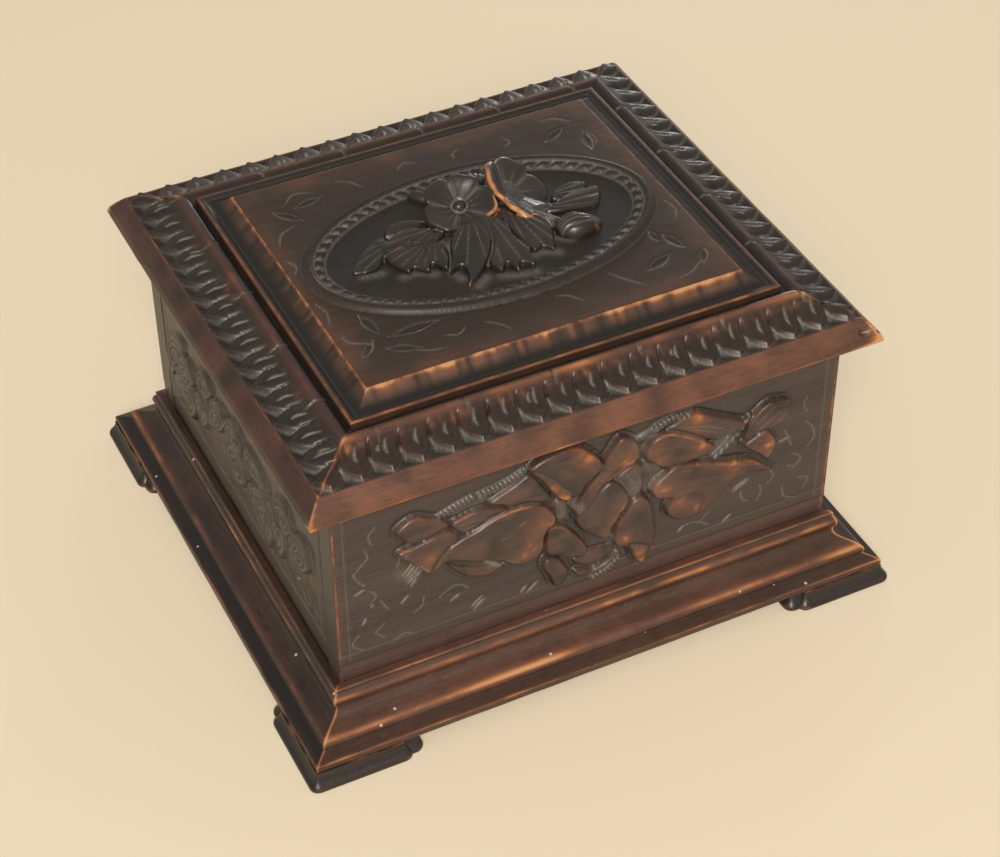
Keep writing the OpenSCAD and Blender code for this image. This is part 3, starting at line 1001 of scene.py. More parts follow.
def front_marks() -> Marks:
    """Everything that is carved on the front, in the order in which it overlaps.

    Returns:
        The marks, with u from the middle of the front and v from the floor.
    """
    marks: Marks = [
        # Stems cut across with short ridges, and the low leaves behind
        Hatch([(-75, 113), (-66, 116), (-58, 118)], 4.2),
        Hatch([(-54, 118), (-42, 120), (-31, 124)], 4.6, rise=1.4),
        Hatch([(21, 119), (26, 121), (31, 122)], 4.0, rise=1.6, ridge=0.0, dust=0.3),
        Hatch([(30, 123), (38, 125), (46, 125)], 4.4, rise=1.6),
        Hatch([(58, 105), (64, 108), (70, 109)], 4.4, rise=2.0),
        Leaf([(-50, 112), (-39, 117), (-30, 121), (-24, 113), (-20, 103), (-27, 101), (-37, 103),
              (-44, 108)], 1.6, 0.6, rubbed=0.05),
        Leaf([(-68, 108), (-62, 110), (-54, 111), (-47, 108), (-41, 105), (-47, 102), (-54, 100),
              (-62, 99), (-66, 102)], 1.8, 0.5, (0.0, 0.06), rubbed=0.35),
        Leaf([(33, 119), (40, 123), (49, 124), (58, 119), (67, 114), (76, 108), (69, 105),
              (57, 105), (48, 110), (40, 115)], 2.0, 0.7, rubbed=0.1, spots=((49, 121, 3),),
             under=1.8),
        Leaf([(-18, 99), (-13, 98), (-12, 92), (-16, 87), (-19, 92)], 1.0, -0.6, lip=0.5,
             rubbed=0.0),
        Leaf([(-12, 98), (-5, 99), (-4, 94), (-8, 87), (-11, 91)], 1.0, -0.6, lip=0.5, rubbed=0.0),
        Leaf([(24, 105), (29, 103), (33, 100), (35, 96), (31, 92), (28, 87), (26, 85), (24, 90)],
             1.2, -0.6, rubbed=0.0),
        Leaf([(10, 100), (14, 104), (19, 106), (23, 104), (24, 97), (24, 91), (20, 85), (17, 87),
              (13, 94)], 1.6, -0.5, lip=0.4, rubbed=0.0),
        Hatch([(60, 94), (65, 98), (70, 103), (77, 111)], 3.4, rise=2.2, pitch=3.6, ridge=0.4),
        # Left sprig
        Leaf([(-94, 114), (-89, 118), (-84, 119), (-78, 116), (-73, 113), (-69, 108), (-75, 106),
              (-81, 104), (-87, 105), (-91, 109)], 2.3, 0.9, (-0.03, 0.0), rubbed=0.35),
        Leaf([(-93, 101), (-85, 103), (-75, 105), (-68, 104), (-65, 100), (-70, 94), (-74, 89),
              (-78, 84), (-82, 87), (-88, 94)], 2.6, 1.0, (0.02, 0.0), rubbed=0.4,
             spots=((-80, 93, 2.6), (-81, 86, 2.4), (-75, 88, 1.6))),
        Leaf([(-71, 86), (-65, 82), (-59, 79), (-53, 77), (-46, 76), (-44, 72), (-51, 70),
              (-58, 72), (-64, 76)], 1.4, 0.4, rubbed=0.2, under=0.5),
        Leaf([(-79, 82), (-75, 89), (-70, 95), (-64, 98), (-57, 100), (-50, 103), (-42, 105),
              (-35, 105), (-28, 103), (-22, 98), (-19, 92), (-21, 87), (-24, 83), (-25, 77),
              (-28, 72), (-33, 71), (-40, 73), (-45, 77), (-52, 80), (-59, 82), (-66, 86),
              (-72, 87)], 3.0, 1.2, (0.02, 0.0), rubbed=0.5,
             spots=((-34, 77, 2.2), (-30, 79, 1.8), (-32, 83, 1.4), (-24, 92, 4.0))),
        # Centre
        Leaf([(-10, 62), (-1, 63), (8, 62), (12, 59), (8, 55), (1, 53), (-6, 56)], 1.0, 1.2,
             rubbed=0.0),
        Leaf([(-9, 55), (-4, 53), (1, 52), (7, 54), (12, 59), (14, 56), (9, 52), (3, 49), (-4, 49),
              (-8, 51)], 1.8, 0.4, rubbed=0.0),
        Hatch([(1, 46), (8, 48), (14, 53)], 3.6, rise=1.2),
        Leaf([(-22, 87), (-15, 85), (-10, 79), (-6, 73), (-3, 67), (-5, 63), (-11, 64), (-17, 67),
              (-23, 71), (-24, 79)], 2.8, 1.4, rubbed=0.3),
        Leaf([(-24, 69), (-25, 64), (-22, 57), (-20, 51), (-17, 50), (-14, 52), (-12, 57),
              (-15, 63), (-19, 68)], 2.8, 1.2, rubbed=0.2),
        Leaf([(-9, 84), (-7, 90), (-2, 95), (3, 100), (8, 102), (13, 97), (17, 88), (13, 81),
              (9, 75), (7, 69), (3, 70), (-2, 74), (-6, 78)], 3.0, 1.1, (0.03, 0.0), rubbed=0.1,
             spots=((11, 79, 2.2), (8, 73, 2.0), (14, 85, 1.8))),
        Leaf([(11, 125), (17, 123), (21, 117), (20, 111), (12, 105), (3, 100), (-2, 94), (-8, 88),
              (-10, 93), (-6, 101), (0, 108), (4, 115)], 3.3, 1.0, (0.03, -0.01), rubbed=0.2,
             spots=((15, 112, 4.0), (5, 103, 2.5), (20, 117, 2.0))),
        Leaf([(-32, 124), (-29, 127), (-23, 129), (-15, 130), (-8, 128), (-3, 123), (2, 117),
              (3, 112), (-1, 108), (-5, 105), (-7, 101), (-12, 100), (-17, 102), (-21, 107),
              (-25, 114), (-28, 119)], 3.4, 0.9, (0.0, 0.02), rubbed=0.35,
             spots=((-4, 121, 2.8), (-8, 124, 2.0))),
        Leaf([(-31, 123), (-26, 120), (-21, 115), (-17, 109), (-12, 103), (-13, 100), (-17, 102),
              (-21, 107), (-25, 114), (-28, 119)], 4.1, 0.6, rubbed=0.3,
             spots=((-16, 105, 3.0), (-20, 111, 2.4)), under=0.7),
        # Right sprig
        Leaf([(26, 116), (30, 119), (36, 119), (43, 115), (50, 110), (56, 105), (60, 100), (54, 99),
              (47, 98), (40, 97), (34, 99), (29, 103), (24, 109)], 3.2, 1.0, (0.0, 0.02),
             rubbed=0.7, spots=((29, 111, 2.6), (31, 106, 2.0), (52, 106, 2.6))),
        Leaf([(74, 99), (75, 105), (78, 111), (82, 115), (87, 117), (92, 116), (96, 115), (97, 111),
              (96, 106), (93, 102), (87, 101), (81, 100)], 2.9, -1.2, lip=0.8, rubbed=0.25),
        Leaf([(74, 96), (78, 99), (85, 101), (89, 97), (91, 92), (89, 87), (86, 84), (82, 88),
              (77, 92)], 3.2, 0.9, (0.03, 0.0), rubbed=0.2, spots=((87, 93, 3.0), (88, 87, 2.0))),
        Leaf([(29, 92), (33, 95), (38, 98), (45, 97), (53, 95), (60, 92), (68, 89), (77, 87),
              (84, 82), (91, 75), (84, 77), (77, 79), (70, 77), (66, 73), (61, 68), (55, 65),
              (48, 64), (42, 65), (37, 69), (36, 74), (38, 79), (34, 81), (30, 83), (28, 87)], 3.3,
             1.2, (-0.015, 0.01), rubbed=0.4,
             spots=((33, 88, 3.0), (42, 77, 2.6), (51, 70, 2.2), (70, 87, 3.0))),
        Leaf([(19, 86), (15, 80), (11, 74), (10, 68), (11, 62), (15, 59), (19, 56), (20, 51),
              (24, 45), (28, 50), (30, 56), (31, 63), (30, 71), (28, 81), (24, 86)], 2.9, 1.1,
             rubbed=0.15, spots=((15, 66, 2.0),)),
        Leaf([(18, 59), (23, 58), (27, 55), (27, 50), (24, 46), (21, 50)], 3.4, 0.6, rubbed=0.1,
             spots=((23, 54, 2.6), (24, 49, 2.4)), under=0.5),
    ]
    # Dust that has settled between the leaves: a path and its width
    settled: list[tuple[Points, float]] = [
        ([(13, 103), (19, 97), (20, 88)], 7.0), ([(26, 102), (31, 97), (27, 89)], 6.0),
        ([(-17, 97), (-14, 90), (-19, 90)], 5.0), ([(-11, 96), (-7, 92)], 4.0),
        ([(-50, 76), (-43, 76), (-38, 74)], 3.0), ([(56, 96), (62, 100), (68, 105)], 6.0),
        ([(-66, 112), (-58, 113), (-50, 114)], 3.0), ([(18, 121), (26, 120), (31, 121)], 4.0),
        ([(0, 50), (6, 51), (12, 55)], 3.0), ([(-92, 88), (-87, 84)], 5.0),
        ([(22, 108), (24, 114)], 3.0), ([(9, 67), (9, 62), (14, 58)], 3.0),
        ([(-26, 81), (-25, 72)], 2.0),
    ]
    # Each kind of cut, with its settings and its paths
    cuts: list[tuple[dict, list[Points]]] = [
        # Broad soft valleys where the leaves fold, with painted shade in them
        ({"width": 3.6, "depth": 0.8, "dust": 0.0, "shade": 0.4}, [
            [(-70, 91), (-55, 96), (-38, 97), (-25, 93)], [(-47, 88), (-40, 90), (-33, 90)],
            [(40, 79), (50, 78), (54, 72), (53, 66)], [(38, 92), (54, 88), (70, 84), (85, 79)],
            [(30, 110), (38, 108), (50, 103)], [(-88, 99), (-79, 99), (-71, 101)],
            [(-2, 108), (-8, 115), (-17, 122)], [(18, 113), (8, 106), (0, 97)],
            [(-18, 80), (-13, 74), (-9, 67)], [(20, 80), (21, 70), (20, 61)],
            [(9, 97), (5, 88), (4, 78)], [(79, 96), (84, 94), (88, 90)],
            [(-90, 113), (-82, 112), (-74, 111)],
        ]),
        *(({"width": width, "depth": 0.0, "dust": 0.28, "even": True}, [path])
          for path, width in settled),
        # Fine pale cuts: veins, and streaks in the hollow petals
        ({"width": 0.9, "depth": 0.35, "dust": 0.25}, [
            [(-47, 91), (-39, 92)], [(-38, 95), (-33, 97)], [(12, 101), (16, 94), (20, 88)],
            [(15, 103), (19, 96), (22, 89)], [(19, 104), (22, 97), (23, 91)],
            [(26, 102), (28, 96), (27, 90)], [(30, 99), (31, 95), (29, 91)],
            [(78, 104), (84, 108), (90, 113)], [(80, 101), (87, 105), (93, 109)],
            [(-66, 106), (-58, 106), (-50, 105)], [(-65, 103), (-57, 103), (-48, 104)],
            [(40, 119), (52, 116), (64, 110)], [(45, 117), (55, 112), (63, 108)],
            [(-17, 97), (-15, 93)], [(-6, 97), (-8, 92)],
        ]),
        ({"width": 0.8, "depth": 0.5, "dust": 0.8}, [
            [(-53 + 1.5 * i, 79 - 0.9 * i), (-50 + 1.5 * i, 75.5 - 0.7 * i)] for i in range(6)]),
        # Strokes of the gouge, painted pale: painted highlights where the cuts catch the light, and
        # dust
        ({"width": 1.5, "depth": 0.7, "dust": 0.85}, [
            [(-91, 86), (-84, 92)], [(-90, 84), (-82, 91)], [(-89, 82), (-81, 89)],
            [(-89, 80), (-81, 86)], [(-87, 78), (-84, 82)], [(-69, 61), (-64, 64)],
            [(-59, 53), (-53, 58)], [(-58, 51), (-52, 56)], [(-35, 51), (-32, 55)],
            [(-32, 50), (-26, 55)], [(44, 54), (47, 57)], [(67, 50), (72, 54)],
            [(71, 68), (79, 73)], [(72, 67), (80, 72)], [(-92, 70), (-88, 74)],
            [(-113, 84), (-108, 86)], [(-106, 74), (-104, 75)], [(-110, 65), (-108, 69)],
            [(94, 88), (100, 89)], [(0, 50), (3, 56)],
        ]),
        # Thin scrolls at both ends
        ({"width": 0.8, "depth": 0.35, "dust": 0.45, "even": True}, [
            [(-102, 119), (-105, 115), (-104, 110)],
            [(-107, 108), (-106, 103), (-110, 99), (-113, 95)],
            [(-113, 97), (-111, 92), (-108, 88)], [(-93, 92), (-91, 97), (-89, 100)],
            [(-106, 84), (-103, 80), (-106, 76)], [(-81, 70), (-82, 65), (-86, 62)],
            [(-100, 62), (-104, 58), (-100, 54)], [(-112, 60), (-115, 55), (-110, 50)],
            [(-96, 50), (-91, 52), (-88, 51)], [(-74, 66), (-66, 70), (-60, 66)],
            [(-98, 70), (-101, 76)], [(107, 110), (106, 105), (108, 101)],
            [(108, 95), (112, 90), (113, 84), (110, 80)], [(97, 94), (99, 89), (101, 84)],
            [(103, 78), (107, 74), (104, 70), (100, 72)], [(76, 66), (77, 61), (80, 58)],
            [(86, 66), (87, 61), (85, 57)], [(98, 60), (100, 53), (106, 50)],
            [(107, 62), (112, 60), (110, 55)], [(90, 74), (93, 69), (90, 65)],
            [(60, 60), (56, 56), (60, 52)], [(45, 57), (52, 57), (58, 54)],
        ]),
    ]
    return marks + [Gouge(path, **settings) for settings, paths in cuts for path in paths]


def end_marks() -> Marks:
    """Everything that is carved on the left end, with u from its middle.

    Returns:
        The marks; the right end takes them mirrored.
    """
    outlines: list[tuple[Points, float]] = [
        ([(-90, 62), (-91, 78), (-84, 90), (-74, 98), (-64, 99), (-67, 88), (-74, 78),
          (-80, 70)], 1.8),
        ([(-82, 66), (-76, 78), (-68, 89), (-57, 93), (-52, 85), (-60, 75), (-71, 69)], 2.3),
        ([(-63, 54), (-70, 63), (-70, 73), (-62, 78), (-54, 71), (-56, 61)], 2.5),
        ([(-50, 88), (-45, 98), (-34, 102), (-27, 97), (-33, 89), (-42, 84)], 1.9),
        ([(-45, 62), (-51, 70), (-51, 80), (-45, 85), (-39, 78), (-40, 68)], 2.4),
        ([(-37, 72), (-34, 84), (-26, 94), (-16, 98), (-12, 91), (-18, 81), (-27, 74)], 2.2),
        ([(-9, 66), (-14, 76), (-11, 86), (-2, 90), (8, 85), (10, 74), (6, 66), (-2, 63)], 2.3),
        ([(-14, 88), (-9, 97), (1, 101), (8, 96), (8, 88), (-2, 84)], 2.6),
        ([(9, 90), (13, 97), (21, 99), (32, 96), (39, 90), (30, 86), (20, 84), (12, 85)], 2.0),
        ([(10, 71), (16, 79), (24, 81), (31, 89), (36, 84), (33, 76), (24, 69), (16, 67)], 2.3),
        ([(34, 53), (27, 62), (25, 74), (30, 83), (37, 81), (41, 70), (39, 60)], 2.5),
        ([(49, 59), (43, 68), (41, 78), (46, 85), (53, 79), (54, 68)], 2.4),
        ([(43, 88), (49, 97), (60, 100), (67, 91), (62, 83), (52, 81)], 2.1),
        ([(59, 70), (62, 83), (70, 93), (82, 96), (86, 86), (79, 76), (68, 69)], 2.3),
    ]
    marks: Marks = [Leaf(outline, 0.8 * rise, 0.9, rubbed=0.1, under=0.5, round=3.0, tone=0.1,
                         painted_shade_ring=0.8) for outline, rise in outlines]
    for outline, _ in outlines:
        points = np.array(outline)
        half = len(points) // 2
        middle = points.mean(axis=0)
        # A midrib with painted shade in it
        marks.append(Gouge([tuple(points[0] * 0.9 + middle * 0.1), tuple(middle),
                            tuple(points[half] * 0.85 + middle * 0.15)], 3.0, 1.0, 0.0, shade=0.55))
        # Long swirling veins that follow the leaf's own outline, each with painted shade in it and
        # a raised pale line below and right of it, a painted highlight
        for share in (0.35, 0.65):
            for side in (points, np.roll(points, -half, 0)):
                line = side[:half + 1] * (1 - share) + middle * share
                marks.append(Gouge([tuple(q) for q in line], 1.4, 1.2, 0.0, shade=1.0))
                marks.append(Gouge([tuple(q + (1.1, -0.8)) for q in line], 1.3, -0.3, 0.5))
    marks += [Gouge([(2, 92), (5, 94), (8, 92)], 2.4, 1.4, 0.0),
              Gouge([(64, 60), (68, 63)], 1.8, 0.7, 0.85)]
    for u in (-84, -30, 20, 74):
        for line in ([(u - 5, 60), (u, 54), (u + 5, 58), (u + 2, 63)],
                     [(u + 8, 52), (u + 12, 56), (u + 8, 60)]):
            marks.append(Gouge(line, 0.8, 0.3, 0.3, even=True))
    return marks


@dataclass
class CarvedBoard:
    """A case board with relief cut on its outer face."""

    node: str
    side: Side
    width: float
    sizes: Sizes
    marks: Marks
    most: float = 3.4
    pitch: float = 0.55
    band_h: float = 9.0
    band_cut: float = 0.6
    border: float = 5.5

    def build(self, material: Material) -> Piece:
        """Carves the board and closes it behind.

        Args:
            material: Its finish.

        Returns:
            The board.
        """
        sizes = self.sizes
        out = self.side.spans(sizes.case_w, sizes.case_d)[1] / 2
        u = spaced(-self.width / 2, self.width / 2, self.pitch)
        hidden = [sizes.foot_h, 0.5 * (sizes.foot_h + sizes.base_top)]
        v = np.append(hidden, spaced(sizes.base_top - 3.0, sizes.rim_z, self.pitch))
        canvas = self.carve(Canvas(u, v))
        uu, vv = np.meshgrid(u, v)
        surface = np.stack([uu, -out - canvas.height, vv], axis=-1)
        piece, at = lay_grid(f"carved_{self.node}", turned(surface, self.side))
        add_marks(piece, at, **{name: getattr(canvas, name) for name in LAYERS[1:]})
        back = turned(np.array([0.0, sizes.board_t - out, 0.0]), self.side)
        close_behind(piece, (1, 0, 1) if self.side.along_x else (0, 1, 1), back)
        weather(piece, 0.12, 0.25, fine=4, broad=30)
        return place_piece(piece, material, 70.0, "case", "carved_wood", self.node)

    def carve(self, canvas: Canvas) -> Canvas:
        """Cuts the marks, the border lines and the plain band.

        Args:
            canvas: The flat face.

        Returns:
            The carved face.
        """
        mirrored = self.side is Side.RIGHT
        if mirrored:
            canvas.flip()
        for mark in self.marks:
            mark.cut(canvas)
        if mirrored:
            canvas.flip()
        end, top = self.width / 2, self.sizes.rim_z
        edge, low = end - self.border, self.sizes.base_top + self.band_h
        for line in ([(-edge, low), (-edge, top)], [(edge, low), (edge, top)],
                     [(-end, low + self.border), (end, low + self.border)]):
            Gouge(line, 0.9, 0.3, 0.15, even=True).cut(canvas)
        uu, vv = np.meshgrid(canvas.u, canvas.v)
        # Facets of the gouge on the ground, and the slow waves of a hand scraped board
        canvas.height += 0.12 * pebbles(uu, vv, 5.0, 11) + 0.10 * pebbles(uu, vv, 16.0, 12)
        band = ease(low + 0.5, low - 0.3, vv)
        canvas.height = (np.where(vv < low, np.minimum(canvas.height, 0.0), canvas.height)
                         - self.band_cut * band)
        canvas.at_least("tone", 0.3 * band)
        inset = end - np.abs(uu)
        if self.side is Side.FRONT:
            canvas.wear += 0.5 * bell(inset - 0.9, 0.6)
            canvas.at_least("tone", 0.3 * bell(inset, 4.0))
            canvas.tone = canvas.tone * ease(0.0, 0.8, inset)
            canvas.at_least("shade", 0.25 * ease(0.8, 0.0, inset))
        else:
            # Painted shade in the joints at both ends, over the groove cut there, and the board a
            # little darker over its last 30 mm towards them
            canvas.at_least("shade", bell(inset, 2.8))
            canvas.at_least("shade", 0.3 * ease(30.0, 5.0, inset))
        canvas.height = np.minimum(canvas.height * ease(0.0, 1.5, inset), self.most)
        if self.side is not Side.FRONT:
            canvas.height -= 1.5 * bell(inset, 0.9)
        return canvas


# Mouldings of the base, and the feet


def unit_normals(profile: Array) -> Array:
    """Outward normals of a profile that runs with its solid on the right.

    Args:
        profile: Points of the profile.

    Returns:
        One normal for each point.
    """
    step = np.gradient(profile, axis=0)
    normal = np.stack([-step[:, 1], step[:, 0]], axis=1)
    return normal / np.maximum(np.linalg.norm(normal, axis=1, keepdims=True), 1e-9)


@dataclass(frozen=True)
class Strip:
    """A mitred strip along one side, swept from a closed profile.

    The profile holds distances outwards from a plan of the given length and width, or inwards
    for a strip that lies within it, and heights above the given floor.
    """

    side: Side
    length: float
    across: float
    loop: Array
    pitch: float
    inwards: bool = False
    floor: float = 0.0

    @property
    def along(self) -> Array:
        """Shares of the way from the middle of the strip to its ends, one a row."""
        return np.linspace(-1.0, 1.0, int(self.length / self.pitch))[:, None]

    @property
    def x(self) -> Array:
        """Place along the strip for each of its points."""
        return self.along * (self.length / 2 + self.hand * self.loop[None, :, 0])

    @property
    def hand(self) -> int:
        """The sign of the profile's distances."""
        return -1 if self.inwards else 1

    def sweep(self, cut: Array) -> tuple[Array, Array, Array]:
        """Places the points of the strip.

        Args:
            cut: How far each point lies off the profile, outwards.

        Returns:
            The surface, and the distance and height of each point in the profile's plane.
        """
        normal = unit_normals(self.loop)
        cut[:, -1] = cut[:, 0]
        p, z = (self.loop[None, :, k] + cut * normal[None, :, k] for k in (0, 1))
        x = self.along * (self.length / 2 + self.hand * p)
        surface = np.stack([x, -self.across / 2 - self.hand * p, self.floor + z], axis=-1)
        return turned(surface, self.side), p, z


@dataclass
class BaseMoulding:
    """The moulding round the foot of the case: ledge, bead, hollow, nose and plinth."""

    sizes: Sizes
    pitch: float = 0.55
    dents: int = 34

    def profile(self) -> Array:
        """The visible profile, outwards from the case and up from the floor.

        Returns:
            The points, from the ledge down to the plinth's foot.
        """
        top, out, foot = self.sizes.base_top, self.sizes.plinth_out, self.sizes.foot_h
        # Bead, hollow and nose, by their depth under the ledge
        curve = smooth_path([(reach, top - down) for reach, down in (
            (3.4, 0.1), (3.9, 1.0), (3.6, 2.2), (4.6, 3.3), (5.5, 5.6), (5.1, 7.8), (4.3, 9.2),
            (4.4, 11.4), (5.6, 13.4), (8.2, 14.7), (11.2, 15.5), (13.6, 16.4), (15.0, 17.8),
            (15.4, 19.3), (14.9, 21.0))], False)
        ledge = [(0.0, top), (2.6, top), (3.2, top - 0.02)]
        plinth = [(14.9, top - 21.2), (out - 0.6, foot + 3.75), (out - 0.15, foot + 3.6),
                  (out, foot + 3.2), (out - 0.1, foot + 0.4), (out - 0.5, foot)]
        return resample(np.vstack([ledge, curve, plinth]), self.pitch)

    def build(self, side: Side, material: Material) -> Piece:
        """Runs one mitred length of the moulding.

        Args:
            side: The side of the box.
            material: Its finish.

        Returns:
            The strip.
        """
        sizes, seed = self.sizes, side.value
        length, out = side.spans(sizes.case_w, sizes.case_d)
        seen = self.profile()
        back = [(0.0, sizes.foot_h), (0.0, 0.5 * (sizes.foot_h + sizes.base_top))]
        strip = Strip(side, length, out, np.vstack([seen, back, seen[:1]]), 1.3)
        x, order = strip.x, np.arange(len(strip.loop))
        rng = np.random.default_rng(40 + seed)
        dent = 0.12 * pebbles(x, strip.loop[None, :, 1] + 0 * x, 14.0, 50 + seed)
        for _ in range(self.dents):
            at, where = rng.uniform(-length / 2, length / 2), rng.integers(6, len(seen) - 2)
            reach = rng.uniform(0.7, 2.2)
            spot = (x - at) ** 2 / reach ** 2 + ((order - where) * self.pitch) ** 2 / 1.2
            dent = dent - rng.uniform(0.15, 0.5) * np.exp(-spot)
        surface, p, z = strip.sweep(dent * ((order < len(seen) - 1) & (order > 3)))
        name = f"base_{side.name.lower()}"
        piece, at = lay_grid(f"moulded_{name}", surface)
        corner = bell(length / 2 + p - np.abs(x), 0.9) * (order > 2) * (surface[..., 1] < 0)
        # The left and right lengths are worn less, with less tone and full shade under the nose:
        # wear, and painted shade on the sides turned from the light
        wear = self.wear_marks(x, strip.loop, 60 + seed) * (1.0 if side.along_x else 0.75)
        down = z - sizes.base_top
        # Lighter, redder tone on the nose, the bead, the hollow and the plinth; the ledge's top is
        # painted lighter, painted light on the face turned up
        tone = (0.8 * bell(down + 16.5, 3.0) + bell(down + 5.0, 2.0) + 0.45 * bell(down + 10.0, 3.0)
                + 0.7 * (down > -0.8) + 0.3 * (down < -19.0))
        tone = tone * (0.8 + 0.5 * pebbles(x, z, 30.0, 45 + seed)) * (1.0 if side.along_x else 0.4)
        # Painted shade in the cove under the nose, above the plinth
        under = ease(-19.8, -21.0, down) * ease(3.3, 4.6, z - sizes.foot_h)
        add_marks(piece, at, wear=wear + 0.6 * corner, tone=tone,
                  shade=(0.25 if side.along_x else 1.0) * under)
        close_tube(piece)
        weather(piece, 0.15, 0.1, broad=14)
        return place_piece(piece, material, 45.0, "case", "moulded_wood", name)

    def wear_marks(self, x: Array, loop: Array, seed: int) -> Array:
        """Wear along the bead, the nose and the plinth's edge.

        Args:
            x: Place along the strip for each point.
            loop: The profile.
            seed: Seed of the patches.

        Returns:
            The wear of each point.
        """
        z = loop[None, :, 1] + 0 * x
        down, up = z - self.sizes.base_top, z - self.sizes.foot_h
        rubbed = 0.75 + 0.25 * pebbles(x, 0 * z, 70.0, seed + 3)
        bead = bell(down + 4.6, 1.3) * (0.6 + 0.4 * pebbles(x, z, 7.0, seed)) * rubbed
        nose = bell(down + 16.9, 1.1) * (0.6 + 0.35 * pebbles(x, z, 38.0, seed + 1))
        plinth = bell(up - 3.5, 0.4) * (0.5 + 0.2 * pebbles(x, z, 12.0, seed + 2))
        ledge = bell(down + 0.5, 0.5) * bell(loop[None, :, 0] - 3.5, 0.9) * 0.45
        return unit(bead + nose + plinth + ledge)


@dataclass
class BracketFoot:
    """A foot strip under one side, with a round end and a small lobe."""

    sizes: Sizes
    length: float = 49.0
    lobe: float = 6.0
    round_r: float = 4.6
    depth: float = 18.0
    toe_r: float = 4.4

    def profile(self) -> Array:
        """Draws the toe's profile.

        Returns:
            Setback from the toe, and height, from the sole up to the plinth.
        """
        points = [(1.1, 0.0), (0.35, 0.35), (0.0, 1.2), (0.15, 2.4), (0.9, 3.4), (1.9, 4.6),
                  (2.9, 6.2), (3.5, 7.6), (3.6, self.sizes.foot_h)]
        return resample(smooth_path(points, False), 0.6)

    def block(self, start: float, end: float, toe: float, mitred: bool) -> Array:
        """Sweeps the profile along the plan of one block.

        Args:
            start: Where the block starts along the side, as seen from outside.
            end: Where its round end lies.
            toe: How far its toe stands out from the case.
            mitred: Whether it starts at the mitre of the corner.

        Returns:
            The block's face as rows along the plan and columns up the profile.
        """
        r, bend = self.round_r, self.toe_r
        # Each point of the plan with its outward direction
        plan = []
        if mitred:
            # The toe at the corner is worn round
            plan += [(start + bend - bend * math.cos(a), bend - toe - bend * math.sin(a),
                      math.cos(a), math.sin(a))
                     for a in np.linspace(math.pi / 4, math.pi / 2, 7)[:-1]]
            start += bend
        plan += [(x, -toe, 0.0, 1.0) for x in spaced(start, end - r, 1.6)]
        plan += [(end - r + r * math.sin(a), -toe + r - r * math.cos(a), -math.sin(a), math.cos(a))
                 for a in np.linspace(0.0, math.pi / 2, 9)[1:]]
        plan += [(end, y, -1.0, 0.0)
                 for y in spaced(-toe + r, self.depth - self.sizes.plinth_out, 2.0)[1:]]
        setback, height = self.profile().T
        plan = np.array(plan)[:, None]
        x, y = (plan[..., k] + setback * plan[..., k + 2] for k in (0, 1))
        return np.stack([x, y, height + 0 * x], axis=-1)

    def build(self, node: str, side: Side, right: bool, material: Material) -> Piece:
        """Makes one foot strip with its lobe.

        Args:
            node: The CAD node that it stands for.
            side: The side of the box.
            right: Whether it stands at the right end of that side.
            material: Its finish.

        Returns:
            The strip.
        """
        length, out = side.spans(self.sizes.case_w, self.sizes.case_d)
        toe = self.sizes.toe
        corner = -length / 2 - toe
        end = corner + self.length
        back_y = self.depth - self.sizes.plinth_out
        parts = []
        for face, mitred in ((self.block(corner, end, toe - 0.1, True), True),
                             (self.block(end - 4.0, end + self.lobe, toe - 2.6, False), False)):
            x, y, z = face[0].T
            rear = np.stack([x + (back_y - y) * mitred, np.full_like(x, back_y), z], axis=-1)
            face = np.concatenate([face, rear[None], face[:1]])
            face[..., 1] -= out / 2
            if right:
                face = face[::-1] * (-1, 1, 1)
            part, _ = lay_grid(f"{node}_block", turned(face, side))
            close_tube(part)
            parts.append(part)
        piece = join(f"shaped_{node}", parts)
        weather(piece, 0.45, 0.1, broad=10)
        return place_piece(piece, material, 45.0, "case", "foot_wood", node)


# Lid


